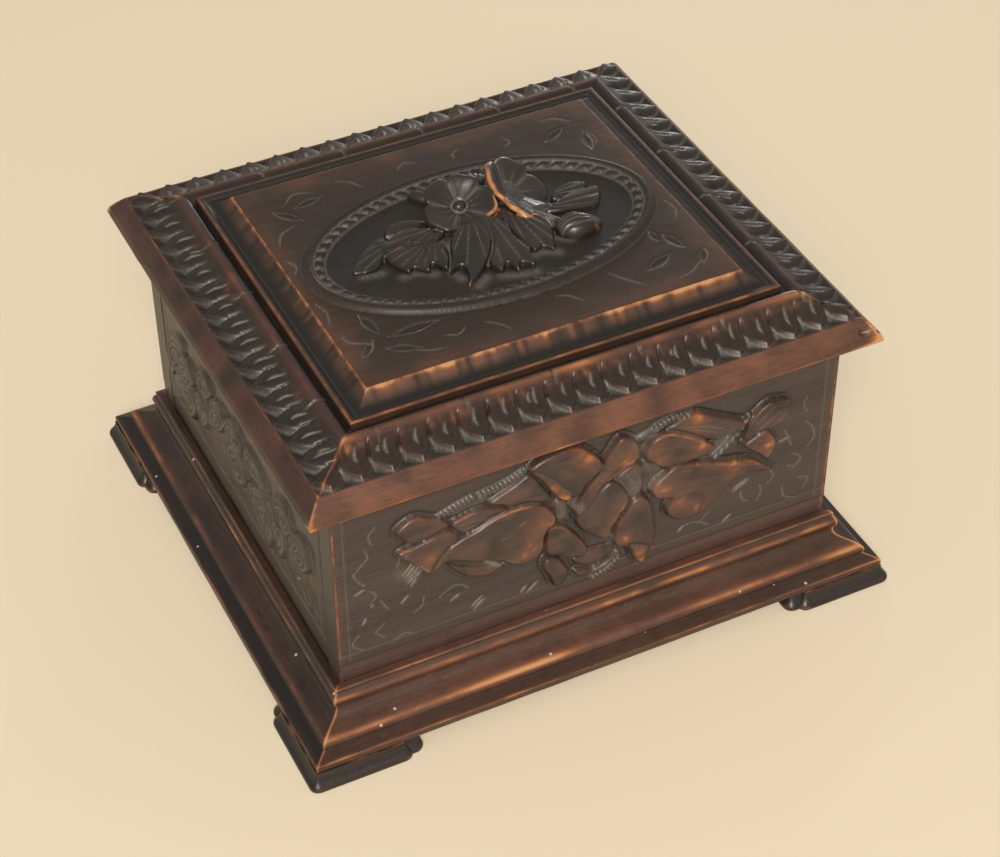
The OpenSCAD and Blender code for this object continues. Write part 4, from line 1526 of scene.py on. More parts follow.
@dataclass
class LidRail:
    """A mitred rail of the lid: plain edge, a band of carved tongues, a nicked roll, a groove."""

    sizes: Sizes
    tongue: float = 13.3
    pitch: float = 0.55
    arris: float = 7.4
    arris_up: float = 11.0
    crest: float = 27.3
    shoulder: float = 0.6

    def profile(self) -> Array:
        """The visible profile: inset from the lid's edge, and height above its underside.

        Returns:
            The points, from the underside's edge to the seat of the panel.
        """
        edge = [(0.7, 0.0), (0.1, 0.5), (0.0, 1.4), (1.1, 4.2), (3.6, 7.2), (6.6, 10.2),
                (7.2, 10.9)]
        band = smooth_path([(7.6, 11.1), (10.0, 11.5), (14.0, 12.2), (18.0, 13.3), (21.5, 14.9),
                            (24.0, 16.9), (26.0, 18.5), (27.6, 18.8), (29.6, 18.3), (30.9, 17.4),
                            (31.7, 16.7), (32.6, 16.6)], False)
        return resample(np.vstack([edge, band]), self.pitch)

    def build(self, side: Side, material: Material) -> Piece:
        """Carves one rail.

        Args:
            side: The side of the lid.
            material: Its finish.

        Returns:
            The rail.
        """
        sizes, seen = self.sizes, self.profile()
        rebate = sizes.panel_z - sizes.lid_z
        hidden = [(32.6, rebate), (sizes.frame_w, rebate), (sizes.frame_w, 0.0), (20.0, 0.0)]
        loop = np.vstack([seen, hidden, seen[:1]])
        strip = Strip(side, *side.spans(sizes.lid_w, sizes.lid_d), loop, self.pitch, True,
                      sizes.lid_z)
        marks = self.carving(strip, len(seen))
        surface, _, _ = strip.sweep(marks.pop("cut"))
        name = f"lid_rail_{side.name.lower()}"
        piece, at = lay_grid(f"carved_{name}", surface)
        add_marks(piece, at, **marks)
        close_tube(piece)
        if side is Side.BACK:
            self.let_in_hinges(piece)
        weather(piece, 0.15, 0.15, broad=16)
        return place_piece(piece, material, 50.0, "lid", "moulded_wood", name)

    def let_in_hinges(self, piece: Piece) -> None:
        """Cuts the beds of the hinge leaves and knuckles into the back rail.

        Args:
            piece: The back rail.
        """
        play, leaf, room, tall = 0.2 * MM, 1.1 * MM, 3.0 * MM, 10 * MM
        for node in ("lid_leaf_left", "lid_leaf_right"):
            low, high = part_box(node)
            pin_low, pin_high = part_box(node.replace("lid_leaf", "hinge_pin"))
            pin = (pin_low + pin_high) / 2
            for y0, y1, top in ((low.y - play, pin.y, self.sizes.lid_z * MM + leaf),
                                (pin.y - room, pin.y + room, pin.z + room)):
                cut_box(piece, (low.x - play, y0, top - tall), (high.x + play, y1, top))

    def carving(self, strip: Strip, seen: int) -> dict[str, Array]:
        """The band of tongues, the nicks in the roll, and the wear, dust, tone and painted light
        and shade.

        Args:
            strip: The rail before it is carved.
            seen: Count of its profile's visible points.

        Returns:
            The cut and the marks of each point.
        """
        x, side, length, seed = strip.x, strip.side, strip.length, strip.side.value
        p, z = (strip.loop[None, :, k] + 0 * x for k in (0, 1))
        order = np.arange(len(strip.loop))
        shown = ((order < seen) & (order > 1))[None, :]
        count = int(round((length - 2 * self.arris) / self.tongue))
        pitch = (length - 2 * self.arris) / count
        band = np.clip((p - self.arris) / (self.crest - 3.0 - self.arris), 0.0, 1.4)
        in_band = ease(0.0, 0.04, band) * ease(1.08, 0.9, band) * (z > self.arris_up)
        # One row of random values for each tongue
        rng, tongues = np.random.default_rng(70 + seed), 90
        # The seams lean to the right above the tongues' points
        cell = x / pitch + 0.5 * (count % 2) - 0.35 * np.maximum(band - 0.6, 0.0)
        index = np.floor(cell).astype(int) % tongues
        off = (cell - np.floor(cell) - 0.5) * pitch
        b = band / (self.shoulder * rng.uniform(0.92, 1.06, tongues)[index])
        # A tongue widens from its point like a pointed arch; three cornered cuts lie between
        inside = 0.5 * pitch * (1.0 - (1.0 - unit(b)) ** 1.9) - np.abs(off)
        below = ease(1.05, 0.95, b)
        pit = ease(0.15, -0.35, inside) * below
        scoop = (0.3 * ease(0.1, -0.3, inside) + 0.7 * ease(0.0, -2.4, inside)) * below
        floor = 1.9 * (0.3 + 0.7 * ease(0.05, 0.5, b) * ease(1.05, 0.75, b))
        crown = 2.0 * (1.0 - unit(np.abs(off) / (0.5 * pitch)) ** 2) ** 0.8 * ease(1.12, 0.6, band)
        crown = (np.minimum(crown, 0.15 + 0.8 * np.maximum(inside, 0.0)) * below
                 + crown * (1 - below))
        seam = bell(0.5 * pitch - np.abs(off), 0.7) * ease(1.12, 0.95, band) * ease(0.9, 1.05, b)
        # One long cut on each tongue and a second one on some
        veins = np.zeros_like(x)
        for k, (middle, often) in enumerate(((1.0, 1.0), (-1.6, 0.3))):
            there = rng.uniform(0, 1, tongues) < often
            low = rng.uniform(0.36, 0.5, tongues)[index] + 0.12 * k
            high = rng.uniform(0.84, 1.0, tongues)[index] - 0.08 * k
            run = unit((band - low) / (high - low))
            swell = np.sin(math.pi * run)
            bend = 0.5 * swell + rng.uniform(-0.4, 0.4, tongues)[index]
            stroke = bell(off - middle + bend, 0.15 + 0.55 * np.sqrt(swell)) * (run > 0) * (run < 1)
            veins = np.maximum(veins, stroke * there[index] * np.sqrt(swell))
        # Nicks across the roll, every third tongue
        nick_at = x / (3 * pitch) + 0.33
        on_roll = ease(20.5, 23.5, p) * ease(31.5, 30.0, p) * (z > self.arris_up)
        nick = bell((nick_at - np.rint(nick_at)) * 3 * pitch, 0.7) * on_roll
        cut = (crown * (1.0 - pit) - floor * scoop - 0.8 * seam - 0.75 * veins) * in_band
        cut += 0.12 * pebbles(x, p + z, 9.0, 80 + seed) - 0.9 * nick
        cut -= self.chips(x, z, p, length, side)
        # The front rail is worn most and painted lightest, the left one less, the back and right
        # ones least: wear, and painted light by how each side faces the light; the cuts get painted
        # shade the other way round
        side_wear_and_light = {Side.FRONT: 1.0, Side.LEFT: 0.75, Side.RIGHT: 0.45, Side.BACK: 0.45}[side]
        edge = (z < self.arris_up - 0.2) * shown
        patch = 0.5 + 0.5 * pebbles(x, p, 12.0, 90 + seed)
        worn = 0.6 + 0.4 * patch
        streak = 0.5 + 0.5 * pebbles(x, 0.2 * p, 1.8, 95 + seed)
        high = ease(0.6, 1.0, band)
        roll = bell(p - self.crest + 0.6, 1.9) * (z > 15) * (0.45 + 0.55 * patch)
        line = np.exp(-((p - self.arris) ** 2 + (z - self.arris_up) ** 2) / 0.4)
        corner = bell(length / 2 - p - np.abs(x), 1.2) * shown * (side_wear_and_light > 0.5)
        wear = side_wear_and_light * roll * (0.3 + 0.45 * patch) * (1 - nick)
        wear += 1.2 * side_wear_and_light * in_band * high * (1 - seam) * patch * streak ** 2
        # A small pale spot at each tongue's point and a thin pale line along its edge: painted
        # highlights
        wear += 0.12 * in_band * bell(off) * bell(band * 17.0)
        wear += 0.2 * in_band * bell(inside - 0.6, 0.35) * below * side_wear_and_light * (b > 0.25)
        wear += (0.12 if side is Side.FRONT else 0.4) * line * worn
        wear += 0.5 * np.exp(-((p - 0.1) ** 2 + (z - 1.0) ** 2) / 0.7) * worn
        wear += 0.4 * edge * ease(0.4, 1.0, pebbles(x, 1.6 * z, 11.0, 94)) * (side is Side.FRONT)
        wear += corner * (0.5 * (p < 6.0) + 0.35)
        wear += 0.9 * np.exp(-((length / 2 - np.abs(x)) ** 2 + p ** 2 + (z - 1.0) ** 2) / 14.0)
        # Pale marks lie on the left wall of each cut, in the veins and at the top of the cuts:
        # dust, and painted highlights where these catch the light. The pit floors are paler on the
        # sides painted lighter.
        wall = bell(inside - 0.05, 0.24) * below * (0.8 * (off < 0) + 0.15 * (off > 0))
        apex = bell(0.5 * pitch - np.abs(off), 0.6) * bell(b - 0.93, 0.13)
        dust = pit * (0.1 + 0.3 * ease(0.3, 0.95, b)) * side_wear_and_light ** 2
        dust = in_band * (dust + wall + 0.9 * veins + 0.8 * apex) + 0.25 * nick
        tone = edge * (0.75 * side_wear_and_light ** 2 + 0.45 * pebbles(x, z, 12.0, 92))
        tone += roll * side_wear_and_light + 0.5 * line
        tone += in_band * (1 - pit) * (0.1 + 0.8 * high) * patch * side_wear_and_light * streak
        # Painted shade in the cuts, deeper on the sides turned from the light, in the seams, down
        # both sides of each tongue and in the groove past the crest; darker patches on the edge
        beside = bell(off - 1.9, 1.3) + 0.6 * bell(off + 2.4, 1.5)
        shade_and_patches = pit * (0.55 + 0.35 * ease(0.9, 0.3, b)) * (1.6 - side_wear_and_light)
        shade_and_patches += 0.4 * seam * ease(1.0, 0.9, band)
        shade_and_patches += (1 - pit) * beside * ease(0.2, 0.45, band) * ease(0.95, 0.75, band) * 0.5
        shade_and_patches = in_band * shade_and_patches * (1 - 0.8 * apex) + (p > self.crest + 1.8) * shown * 0.6
        shade_and_patches += 0.3 * edge * ease(0.3, 0.9, pebbles(x, z, 10.0, 93))
        return {"cut": cut * shown, "wear": wear, "dust": dust, "tone": tone, "shade": shade_and_patches}

    @staticmethod
    def chips(x: Array, z: Array, p: Array, length: float, side: Side) -> Array:
        """The chip and crack at the right end of the front edge.

        Args:
            x: Place along the rail.
            z: Height above the underside.
            p: Inset from the edge.
            length: Length of the rail.
            side: The side of the lid.

        Returns:
            The depth of the damage.
        """
        from_chip = x - length / 2 + 8.0
        hole = 2.2 * bell(from_chip, 2.4) * bell(z - 6.4, 1.3)
        crack = 0.8 * bell(z - 4.4 - 0.10 * from_chip, 0.55) * ease(-32.0, -22.0, from_chip)
        return (hole + crack) * (p < 8.0) * (side is Side.FRONT)


@dataclass
class LidPanel:
    """The raised panel: fillet, hollow border, incised sprays and a beaded oval."""

    sizes: Sizes
    pitch: float = 0.65
    oval_a: float = 80.8
    oval_b: float = 47.5
    bead: float = 7.0
    # Height of the panel's edge above its underside, by the distance from its edge
    border: tuple[tuple[float, float], ...] = (
        (0.0, 7.0), (0.3, 7.3), (2.6, 7.4), (3.1, 7.1), (3.5, 6.4), (4.6, 6.2), (6.2, 6.6),
        (8.0, 7.5), (10.0, 9.0), (11.6, 10.5), (12.6, 11.5), (13.0, 11.85), (14.0, FIELD_UP))

    def oval_height(self, canvas: Canvas) -> None:
        """Raises the oval roll with its beaded string.

        Args:
            canvas: The field of the panel.
        """
        u, v = np.meshgrid(canvas.u, canvas.v)
        a, b = self.oval_a, self.oval_b
        # Distance outwards from the oval, and beads counted round it
        reach = np.sqrt((u / a) ** 2 + (v / b) ** 2)
        slope = np.sqrt(u ** 2 / a ** 4 + v ** 2 / b ** 4) / np.maximum(reach, 1e-6)
        off = (reach - 1.0) / np.maximum(slope, 1e-6)
        angle = np.linspace(-math.pi, math.pi, 721)
        step = np.hypot(a * np.diff(np.cos(angle)), b * np.diff(np.sin(angle)))
        run = np.append(0.0, np.cumsum(step))
        count = round(run[-1] / self.bead)
        along = np.interp(np.arctan2(v / b, u / a), angle, run) / run[-1] * count
        beat = np.abs(np.sin(math.pi * along))
        roll = 2.4 * np.sqrt(unit(1.0 - (off / 2.9) ** 2))
        from_string = off + 4.6
        string = 2.2 * np.sqrt(unit(1.0 - (from_string / 2.4) ** 2)) * beat ** 0.6
        string = string - 0.5 * bell(from_string, 2.2) * ease(0.5, 0.1, beat)
        gap = -0.5 * bell(off + 2.4, 0.6) * (off > -3.5)
        canvas.height += np.maximum(roll, string) + gap - 0.35 * ease(-6.0, -8.5, off)
        # Painted shade in the crease at the foot of the step down inside the oval
        canvas.at_least("shade", 0.5 * bell(off + 7.0, 0.8))
        for pale in (0.4 * bell(from_string, 2.0) * ease(0.7, 0.3, beat),
                     0.45 * bell(off + 2.5, 0.6), 0.25 * bell(off + 7.2, 0.6)):
            canvas.at_least("dust", pale)

    def sprays(self) -> list[Gouge]:
        """The thin leaf sprays and gouge arcs cut round the oval.

        Returns:
            The cuts, with u and v from the panel's middle.
        """
        lines: list[Points] = [
            [(-85, -38), (-83, -45), (-74, -50)], [(-46, -58), (-40, -60), (-35, -57)],
            [(-27, -57), (-22, -61), (-18, -67)], [(8, -55), (14, -58), (18, -64)],
            [(36, -51), (40, -57), (47, -66)], [(62, -68), (70, -66), (78, -60)],
            [(74, 35), (80, 42), (78, 52)], [(41, 62), (43, 58), (39, 55)],
            [(14, 57), (15, 61), (19, 63)], [(-43, 65), (-37, 62), (-33, 55)],
            [(-14, 60), (-9, 64), (-3, 62)], [(-70, 58), (-64, 64), (-55, 62)],
            [(-84, 30), (-80, 38), (-72, 42)], [(84, -14), (86, -22), (82, -30)],
            [(-86, 8), (-83, 14), (-86, 20)], [(62, 66), (70, 66), (76, 60)],
            [(-62, -60), (-56, -64), (-48, -66)], [(-86, -14), (-84, -22), (-86, -30)],
        ]
        cuts = [Gouge(line, 0.9, 0.4, 0.5) for line in lines]
        # Dust in the gaps of the spray's leaves
        gaps: list[Points] = [
            [(-6, -32), (2, -35), (9, -36)], [(13, -25), (18, -25), (24, -28)],
            [(-22, -26), (-24, -20)], [(-31, -18), (-38, -14), (-44, -14)], [(-60, -6), (-52, -7)],
            [(27, -17), (33, -22)], [(-44, 12), (-40, 14)], [(-18, -34), (-12, -30)],
            [(29, 0), (34, -5)],
        ]
        cuts += [Gouge(gap, 5.0, 0.0, 0.4, even=True) for gap in gaps]
        leaves = [
            (-71, -37, -78, 16, 4.5), (-55, -48, 2, 24, 5.0), (-64, -58, -24, 16, 4.0),
            (60, -54, 22, 16, 4.5), (73, -43, -70, 14, 4.0), (67, -36, -86, 9, 3.0),
            (76, 43, 80, 16, 4.0), (64, 54, 30, 16, 4.0), (-72, 50, -50, 16, 4.0),
            (-60, 56, 12, 15, 4.0), (-78, -52, 48, 12, 3.5), (80, -58, 60, 12, 3.5),
        ]
        for u, v, turn, length, width in leaves:
            c, s = math.cos(math.radians(turn)), math.sin(math.radians(turn))
            start, end = ((u + way * c * length / 2, v + way * s * length / 2) for way in (-1, 1))
            # One outline of each leaf is painted pale, a painted highlight, the other only faintly;
            # the leaf's hollow gets painted shade
            for hand, pale in ((-0.5, 0.75), (0.5, 0.15)):
                side = (u - hand * s * width, v + hand * c * width)
                cuts.append(Gouge([start, side, end], 0.9, 0.5, pale))
            cuts.append(Gouge([start, (u, v), end], 0.8 * width, 1.0, 0.0, shade=0.6))
        return cuts

    def build(self, material: Material) -> Piece:
        """Carves the panel.

        Args:
            material: Its finish.

        Returns:
            The panel.
        """
        wide, deep = self.sizes.panel_w / 2, self.sizes.panel_d / 2
        canvas = Canvas(spaced(-wide, wide, self.pitch), spaced(-deep, deep, self.pitch))
        self.oval_height(canvas)
        for cut in self.sprays():
            cut.cut(canvas)
        u, v = np.meshgrid(canvas.u, canvas.v)
        inset = np.minimum(wide - np.abs(u), deep - np.abs(v))
        in_field = ease(12.8, 13.6, inset)
        up = np.interp(inset, *np.array(self.border).T) + canvas.height * in_field
        up += 0.06 * pebbles(u, v, 4.0, 21) + 0.10 * pebbles(u, v, 18.0, 22) * in_field
        # Chatter of the tool across the border
        along = np.where(wide - np.abs(u) > deep - np.abs(v), u, v)
        up += 0.07 * pebbles(along, 0 * along, 2.4, 23) * ease(4.0, 7.0, inset) * (1 - in_field)
        piece, at = lay_grid("carved_lid_panel", np.stack([u, v, self.sizes.panel_z + up], axis=-1))
        # The border is worn most and painted lighter in front, less at the left, least at the back
        # and right: wear, and painted light by how each side faces the light
        front = (inset > deep + v - 0.3) & (v < 0)
        left = (inset > wide + u - 0.3) & (u < 0) & ~front
        border_wear_and_light = np.where(front, 1.0, np.where(left, 0.6, 0.45))
        rough = 0.5 + 0.5 * pebbles(along, 0 * along, 2.4, 27)
        fillet = bell(inset - 0.9, 0.8)
        wear = canvas.wear + (0.2 + 0.5 * border_wear_and_light) * bell(inset - 12.9, 0.6)
        wear += (0.2 + 0.45 * border_wear_and_light) * fillet * (0.8 + 0.2 * pebbles(u, v, 9.0, 24))
        wear += 0.65 * border_wear_and_light ** 2 * rough * ease(9.0, 12.6, inset) * ease(13.4, 12.6, inset)
        border = ease(13.6, 12.4, inset)
        outside = np.hypot(u / self.oval_a, v / self.oval_b)
        warm = 0.12 + 0.5 * bell(inset - 13.4, 9.0) * (0.8 + 0.4 * pebbles(u, v, 14.0, 25))
        tone = border_wear_and_light ** 1.5 * border * rough * 1.4 * ease(6.0, 11.0, inset) + 0.8 * fillet
        tone = tone + warm * in_field * ease(0.95, 1.1, outside)
        canvas.at_least("shade", 0.22 * ease(1.0, 0.85, outside))
        # Painted shade in the hollow of the border
        hollow = border * ease(10.5, 6.0, inset) * ease(2.9, 3.6, inset)
        add_marks(piece, at, tone=tone, shade=0.75 * hollow + canvas.shade, wear=wear,
                  dust=canvas.dust * in_field)
        close_behind(piece, (1, 1, 0), (0.0, 0.0, self.sizes.panel_z))
        weather(piece, 0.08, 0.2)
        return place_piece(piece, material, 55.0, "lid", "carved_wood", "lid_panel")


# The flower spray


@dataclass(frozen=True)
class Flower:
    """An open flower: a lobed, grooved bowl that leans on its stalk.

    Lean is the turn about X and Y in degrees, and stretch widens it along Y. Longer draws the
    rim out on one side and wide broadens the petal there: share and angle in degrees. The rim
    is worn between two angles, in degrees.
    """

    middle: Triple
    radius: float
    lean: tuple[float, float]
    turn: float
    dish: float
    longer: tuple[float, float]
    stretch: float = 1.0
    wave: float = 0.8
    wide: tuple[float, float] = (0.0, 0.0)
    worn: tuple[float, float] = (-80.0, -14.0)

    def at(self, r: Array, a: Array) -> Array:
        """Points of the bowl.

        Args:
            r: Share of the way from the throat to the rim.
            a: Angle round the throat.

        Returns:
            The points, with heights above the field.
        """
        x = self.radius * r * self.rim(a) * np.cos(a)
        y = self.radius * r * self.rim(a) * np.sin(a) * self.stretch
        surface = np.stack([x, y, self.height(r, a) + 0 * x], axis=-1)
        return surface @ np.array(self.leaning()).T + np.array(self.middle)

    def leaning(self) -> Matrix:
        """The turn that leans the flower on its stalk."""
        return (Matrix.Rotation(math.radians(self.lean[1]), 3, "Y")
                @ Matrix.Rotation(math.radians(self.lean[0]), 3, "X"))

    def petals(self, a: Array) -> Array:
        """Runs from 0 between two petals to 1 in the middle of one."""
        b = a - self.wide[0] * np.sin(a - math.radians(self.wide[1]))
        return np.abs(np.sin(2.5 * (b - math.radians(self.turn))))

    def rim(self, a: Array) -> Array:
        """The outline: five lobes with a notch between two, as a share of the radius."""
        lobes = 1.0 - 0.17 * (1.0 - self.petals(a)) ** 2.5 + 0.02 * np.sin(11.0 * a + 1.0)
        return lobes * (1.0 + self.longer[0] * np.cos(a - math.radians(self.longer[1])))

    def rays(self, r: Array, a: Array) -> Array:
        """The fine grooves that run out from the throat.

        Args:
            r: Share of the way from the throat to the rim.
            a: Angle round the throat.

        Returns:
            Their depth, from 0 to 1.
        """
        uneven = 0.5 + 0.5 * np.sin(5.0 * a + 1.3) * np.sin(3.0 * a)
        fine = (1.0 - np.abs(np.sin(6.5 * a + 0.5 * np.sin(2.0 * a)))) ** 6
        fold = 0.7 * (1.0 - self.petals(a)) ** 5 * ease(1.0, 0.9, r)
        return np.maximum(fine * ease(1.0 - 0.5 * uneven, 0.3, r), fold) * ease(0.2, 0.3, r)

    def height(self, r: Array, a: Array) -> Array:
        """Height of the bowl over its throat, before it leans.

        Args:
            r: Share of the way from the throat to the rim.
            a: Angle round the throat.

        Returns:
            The height.
        """
        petal = self.petals(a)
        z = self.dish * r ** 1.4 + 2.2 * (petal ** 0.7 - 0.55) * r ** 1.6 * ease(1.15, 0.7, r)
        z = z + self.wave * np.sin(3.0 * a + 0.6) * r ** 4 - 1.6 * ease(0.84, 1.0, r) ** 2
        return z - 0.9 * self.rays(r, a) - 1.1 * bell(r - 0.2, 0.06)

    def marks(self, place: Array) -> tuple[Array, Array]:
        """Wear of the rim and dust in the grooves for points of the spray.

        Args:
            place: The points, with heights above the field.

        Returns:
            The wear and the dust.
        """
        x, y, z = ((place - np.array(self.middle)) @ np.array(self.leaning())).T
        a = np.arctan2(y / self.stretch, x)
        r = np.hypot(x, y / self.stretch) / (self.radius * self.rim(a))
        near = ease(3.4, 1.6, np.abs(z - self.height(np.minimum(r, 1.0), a)))
        turn, (start, end) = np.degrees(a), self.worn
        worn = ease(start - 8, start + 8, turn) * ease(end + 8, end - 8, turn)
        worn = bell(r - 1.0, 0.08) * near * (0.25 * (np.sin(a) < 0) + worn)
        dust = 0.6 * self.rays(r, a) * ease(1.0, 0.8, r) + 0.25 * ease(0.3, 0.2, r)
        return unit(worn), dust * near


@dataclass
class FlowerSpray:
    """Two open flowers, a bud and their leaves, carved from one block."""

    sizes: Sizes
    voxel: float = 0.45
    flowers: tuple[Flower, ...] = (
        Flower((-4.0, 15.0, 4.6), 16.6, (18.0, -3.0), 20.0, 6.0, (0.08, 250.0)),
        Flower((21.4, 17.0, 3.4), 15.0, (10.0, 24.0), 122.0, 4.6, (0.30, 0.0), stretch=1.4,
               wave=0.6, wide=(0.5, 160.0), worn=(-130.0, -20.0)),
    )
    # Thickness of the rolled rim of the second flower at angles round its throat
    rolled_rim: tuple[tuple[float, float], ...] = (
        (88.0, 0.35), (112.0, 0.8), (150.0, 1.2), (190.0, 1.1), (214.0, 0.5), (228.0, 0.3),
        (250.0, 0.7), (275.0, 0.7), (292.0, 0.35))
    # Middle above the field, half sizes and turn in degrees of the bosses and of the wood
    # under the flowers
    lumps: tuple[tuple[Triple, Triple, Triple], ...] = (
        ((-3.8, 14.4, 5.9), (3.2, 2.6, 2.8), (18, -3, 10)),
        ((21.8, 17.0, 4.1), (2.0, 2.0, 1.8), (10, 24, 0)),
        ((-4, 17, 1.6), (10.5, 10.5, 5.0), (18, 0, 0)),
        ((21.5, 18, 0.8), (10.0, 15.0, 5.0), (10, 20, 0)),
        ((14, 5, 1.0), (7.0, 7.0, 4.0), (0, 0, 0)),
    )
    # The leaves' canvas, and the places and thickness of the rolled rim, once they are carved
    canvas: Canvas = field(init=False)
    rope: Array = field(init=False)

    def leaves(self) -> Marks:
        """The leaves and the bud, from the ground up.

        Returns:
            The marks, with u and v from the middle of the field.
        """
        marks: Marks = [
            Hatch([(-46, 4), (-20, 6), (20, 4), (40, 2)], 5.0, rise=2.2, ridge=0.0, dust=0.0),
            Leaf([(-34, 8), (-32, -8), (-22, -18), (-8, -20), (0, -25), (10, -22), (22, -18),
                  (32, -6), (34, 6), (0, 12)], 1.2, 0.2, rubbed=0.0, tone=0.0),
            Gouge([(-30, -2), (-10, -14), (8, -18), (28, -8)], 18.0, 0.0, 0.45, even=True),
            Leaf([(-12, 30), (-19, 38), (-12, 41), (-3, 37), (0, 31)], 2.6, 0.6, fan=(-6, 28)),
            Leaf([(8, 30), (4, 39), (12, 42), (20, 37), (18, 30)], 2.6, 0.6, fan=(12, 27)),
            Leaf([(38, 6), (42, 12), (51, 15), (59, 12), (55, 7), (45, 4)], 2.0, 0.4, (-0.05, 0),
                 lip=0.5, fan=(34, 8)),
            Leaf([(31, -1), (38, 3), (46, 6), (54, 8), (62, 6), (60, 0), (55, -6), (45, -5),
                  (37, -4)], 2.2, 0.6, (-0.03, 0.03), lip=0.6, rubbed=0.4, fan=(28, 1)),
            Leaf([(-41, 14), (-38, 20), (-31, 22), (-23, 19), (-19, 14), (-25, 11), (-30, 9),
                  (-36, 12)], 2.6, 0.5, (0.04, 0.05), rubbed=0.1),
            Leaf([(-64, -3), (-60, 3), (-54, 9), (-47, 12), (-41, 10), (-40, 5), (-45, 3),
                  (-48, -1), (-53, -5), (-59, -5)], 1.9, 0.5, (0.06, 0.04), lip=0.5, rubbed=0.6,
                 fan=(-36, 9)),
            Leaf([(-46, 5), (-42, 11), (-32, 14), (-22, 11), (-16, 3), (-25, -1), (-37, -1)], 3.0,
                 0.8, (0.05, 0.0), lip=0.4, rubbed=0.1, fan=(-14, 8)),
            Leaf([(-47, 0), (-40, 3), (-30, 3), (-21, -1), (-20, -9), (-25, -19), (-30, -13),
                  (-33, -17), (-38, -12), (-42, -13)], 2.4, 0.5, (0.04, 0.05), lip=0.7, rubbed=0.1,
                 fan=(-22, 3)),
            Leaf([(10, 1), (18, 0), (26, -3), (29, -11), (27, -19), (23, -27), (19, -23), (14, -24),
                  (12, -15), (10, -7)], 2.9, 0.6, (-0.02, 0.13), lip=0.8, rubbed=0.1, fan=(15, 8)),
            Leaf([(1, 0), (-7, 2), (-15, -1), (-19, -8), (-22, -15), (-27, -23), (-22, -21),
                  (-19, -22), (-20, -28), (-23, -34), (-16, -30), (-9, -24), (-3, -17), (1, -9)],
                 3.6, 0.5, (0.05, 0.13), lip=1.0, rubbed=0.2, fan=(-2, 8), ribs=28,
                 spots=((-21, -31, 3.0),)),
            Leaf([(0, 0), (7, 2), (10, -4), (10, -14), (12, -24), (10, -34), (5, -30), (2, -34),
                  (-1, -28), (-5, -31), (-8, -24), (-3, -17), (0, -10)], 3.7, 0.5, (0.0, 0.13),
                 lip=1.0, rubbed=0.2, fan=(4, 8), ribs=28, spots=((-3, -14, 2.0),)),
            Hatch([(26, -2), (31, -8), (34, -12)], 4.2, rise=4.0, ridge=0.0, dust=0.0),
            Leaf([(29, -14), (32, -10), (39, -7), (46, -11), (51, -17), (49, -21), (42, -24),
                  (35, -23), (30, -19)], 2.6, 4.2, rubbed=0.2, spots=((47, -19, 3.0),)),
        ]
        marks += [Gouge([(31, -14 - 1.6 * i), (39, -10 - 3.2 * i), (49, -17 - 0.8 * i)], 1.3, 0.8,
                        0.2, even=True) for i in range(4)]
        marks += [Leaf([(u - 2.6, v), (u, v + 2.2), (u + 2.6, v), (u, v - 2.2)], 3.0, 1.2,
                       rubbed=0.0, under=0.4, round=2.4, painted_shade_ring=0.5)
                  for u, v in ((-34, 3), (-30, -4), (-26, 1))]
        return [replace(mark, drop=0.7, round=2.6, rubbed=0.7, under=0.2)
                if isinstance(mark, Leaf) and mark.rubbed else mark for mark in marks]

    def bed(self) -> Piece:
        """Carves the leaves and the bud as one block that reaches into the field.

        Returns:
            The block.
        """
        self.canvas = canvas = Canvas(
            spaced(-66.5, 64.5, self.voxel), spaced(-37.5, 43.5, self.voxel))
        for mark in self.leaves():
            mark.cut(canvas)
        height = np.where(canvas.height < 0.3, -1.6, canvas.height)
        uu, vv = np.meshgrid(canvas.u, canvas.v)
        piece, _ = lay_grid("leaf_bed", np.stack([uu, vv, self.sizes.field_z + height], axis=-1))
        close_behind(piece, (1, 1, 0), (0.0, 0.0, self.sizes.field_z - 2.6))
        return piece

    def roll(self) -> Piece:
        """Makes the thick rolled rim as a closed rope of changing width.

        Returns:
            The rope.
        """
        turns, thick = np.array(self.rolled_rim).T
        a = np.radians(np.linspace(turns[0], turns[-1], 110))
        rim = self.flowers[1].at(np.full_like(a, 0.98), a)
        self.rope = rope = np.column_stack([rim, np.interp(np.degrees(a), turns, thick)])
        for _ in range(8):
            rope[1:-1] = 0.5 * rope[1:-1] + 0.25 * (rope[:-2] + rope[2:])
        ahead = np.gradient(rope[:, :3], axis=0)
        ahead /= np.linalg.norm(ahead, axis=1)[:, None]
        side = np.cross(ahead, (0.0, 0.0, 1.0))
        side /= np.linalg.norm(side, axis=1)[:, None]
        up = np.cross(side, ahead)
        a = np.linspace(0.0, 2.0 * math.pi, 19)[None, :, None]
        ring = (np.cos(a) * side[:, None] + np.sin(a) * up[:, None]) * rope[:, None, 3:]
        piece, _ = lay_grid("rolled_rim", rope[:, None, :3] + ring + (0.0, 0.0, self.sizes.field_z))
        close_tube(piece)
        return piece

    def bowl(self, flower: Flower) -> Piece:
        """Gives a flower's surface its thickness.

        Args:
            flower: The flower.

        Returns:
            The closed bowl.
        """
        surface = flower.at(np.linspace(0.0, 1.0, 40)[:, None],
                            np.linspace(0.0, 2.0 * math.pi, 181)[None, :])
        piece, _ = lay_grid("bowl", surface + (0.0, 0.0, self.sizes.field_z))
        edit(piece, "SELECT")
        bpy.ops.mesh.remove_doubles(threshold=1e-6)
        leave_edit()
        modify(piece, "SOLIDIFY", thickness=1.9 * MM, offset=0.0)
        return piece

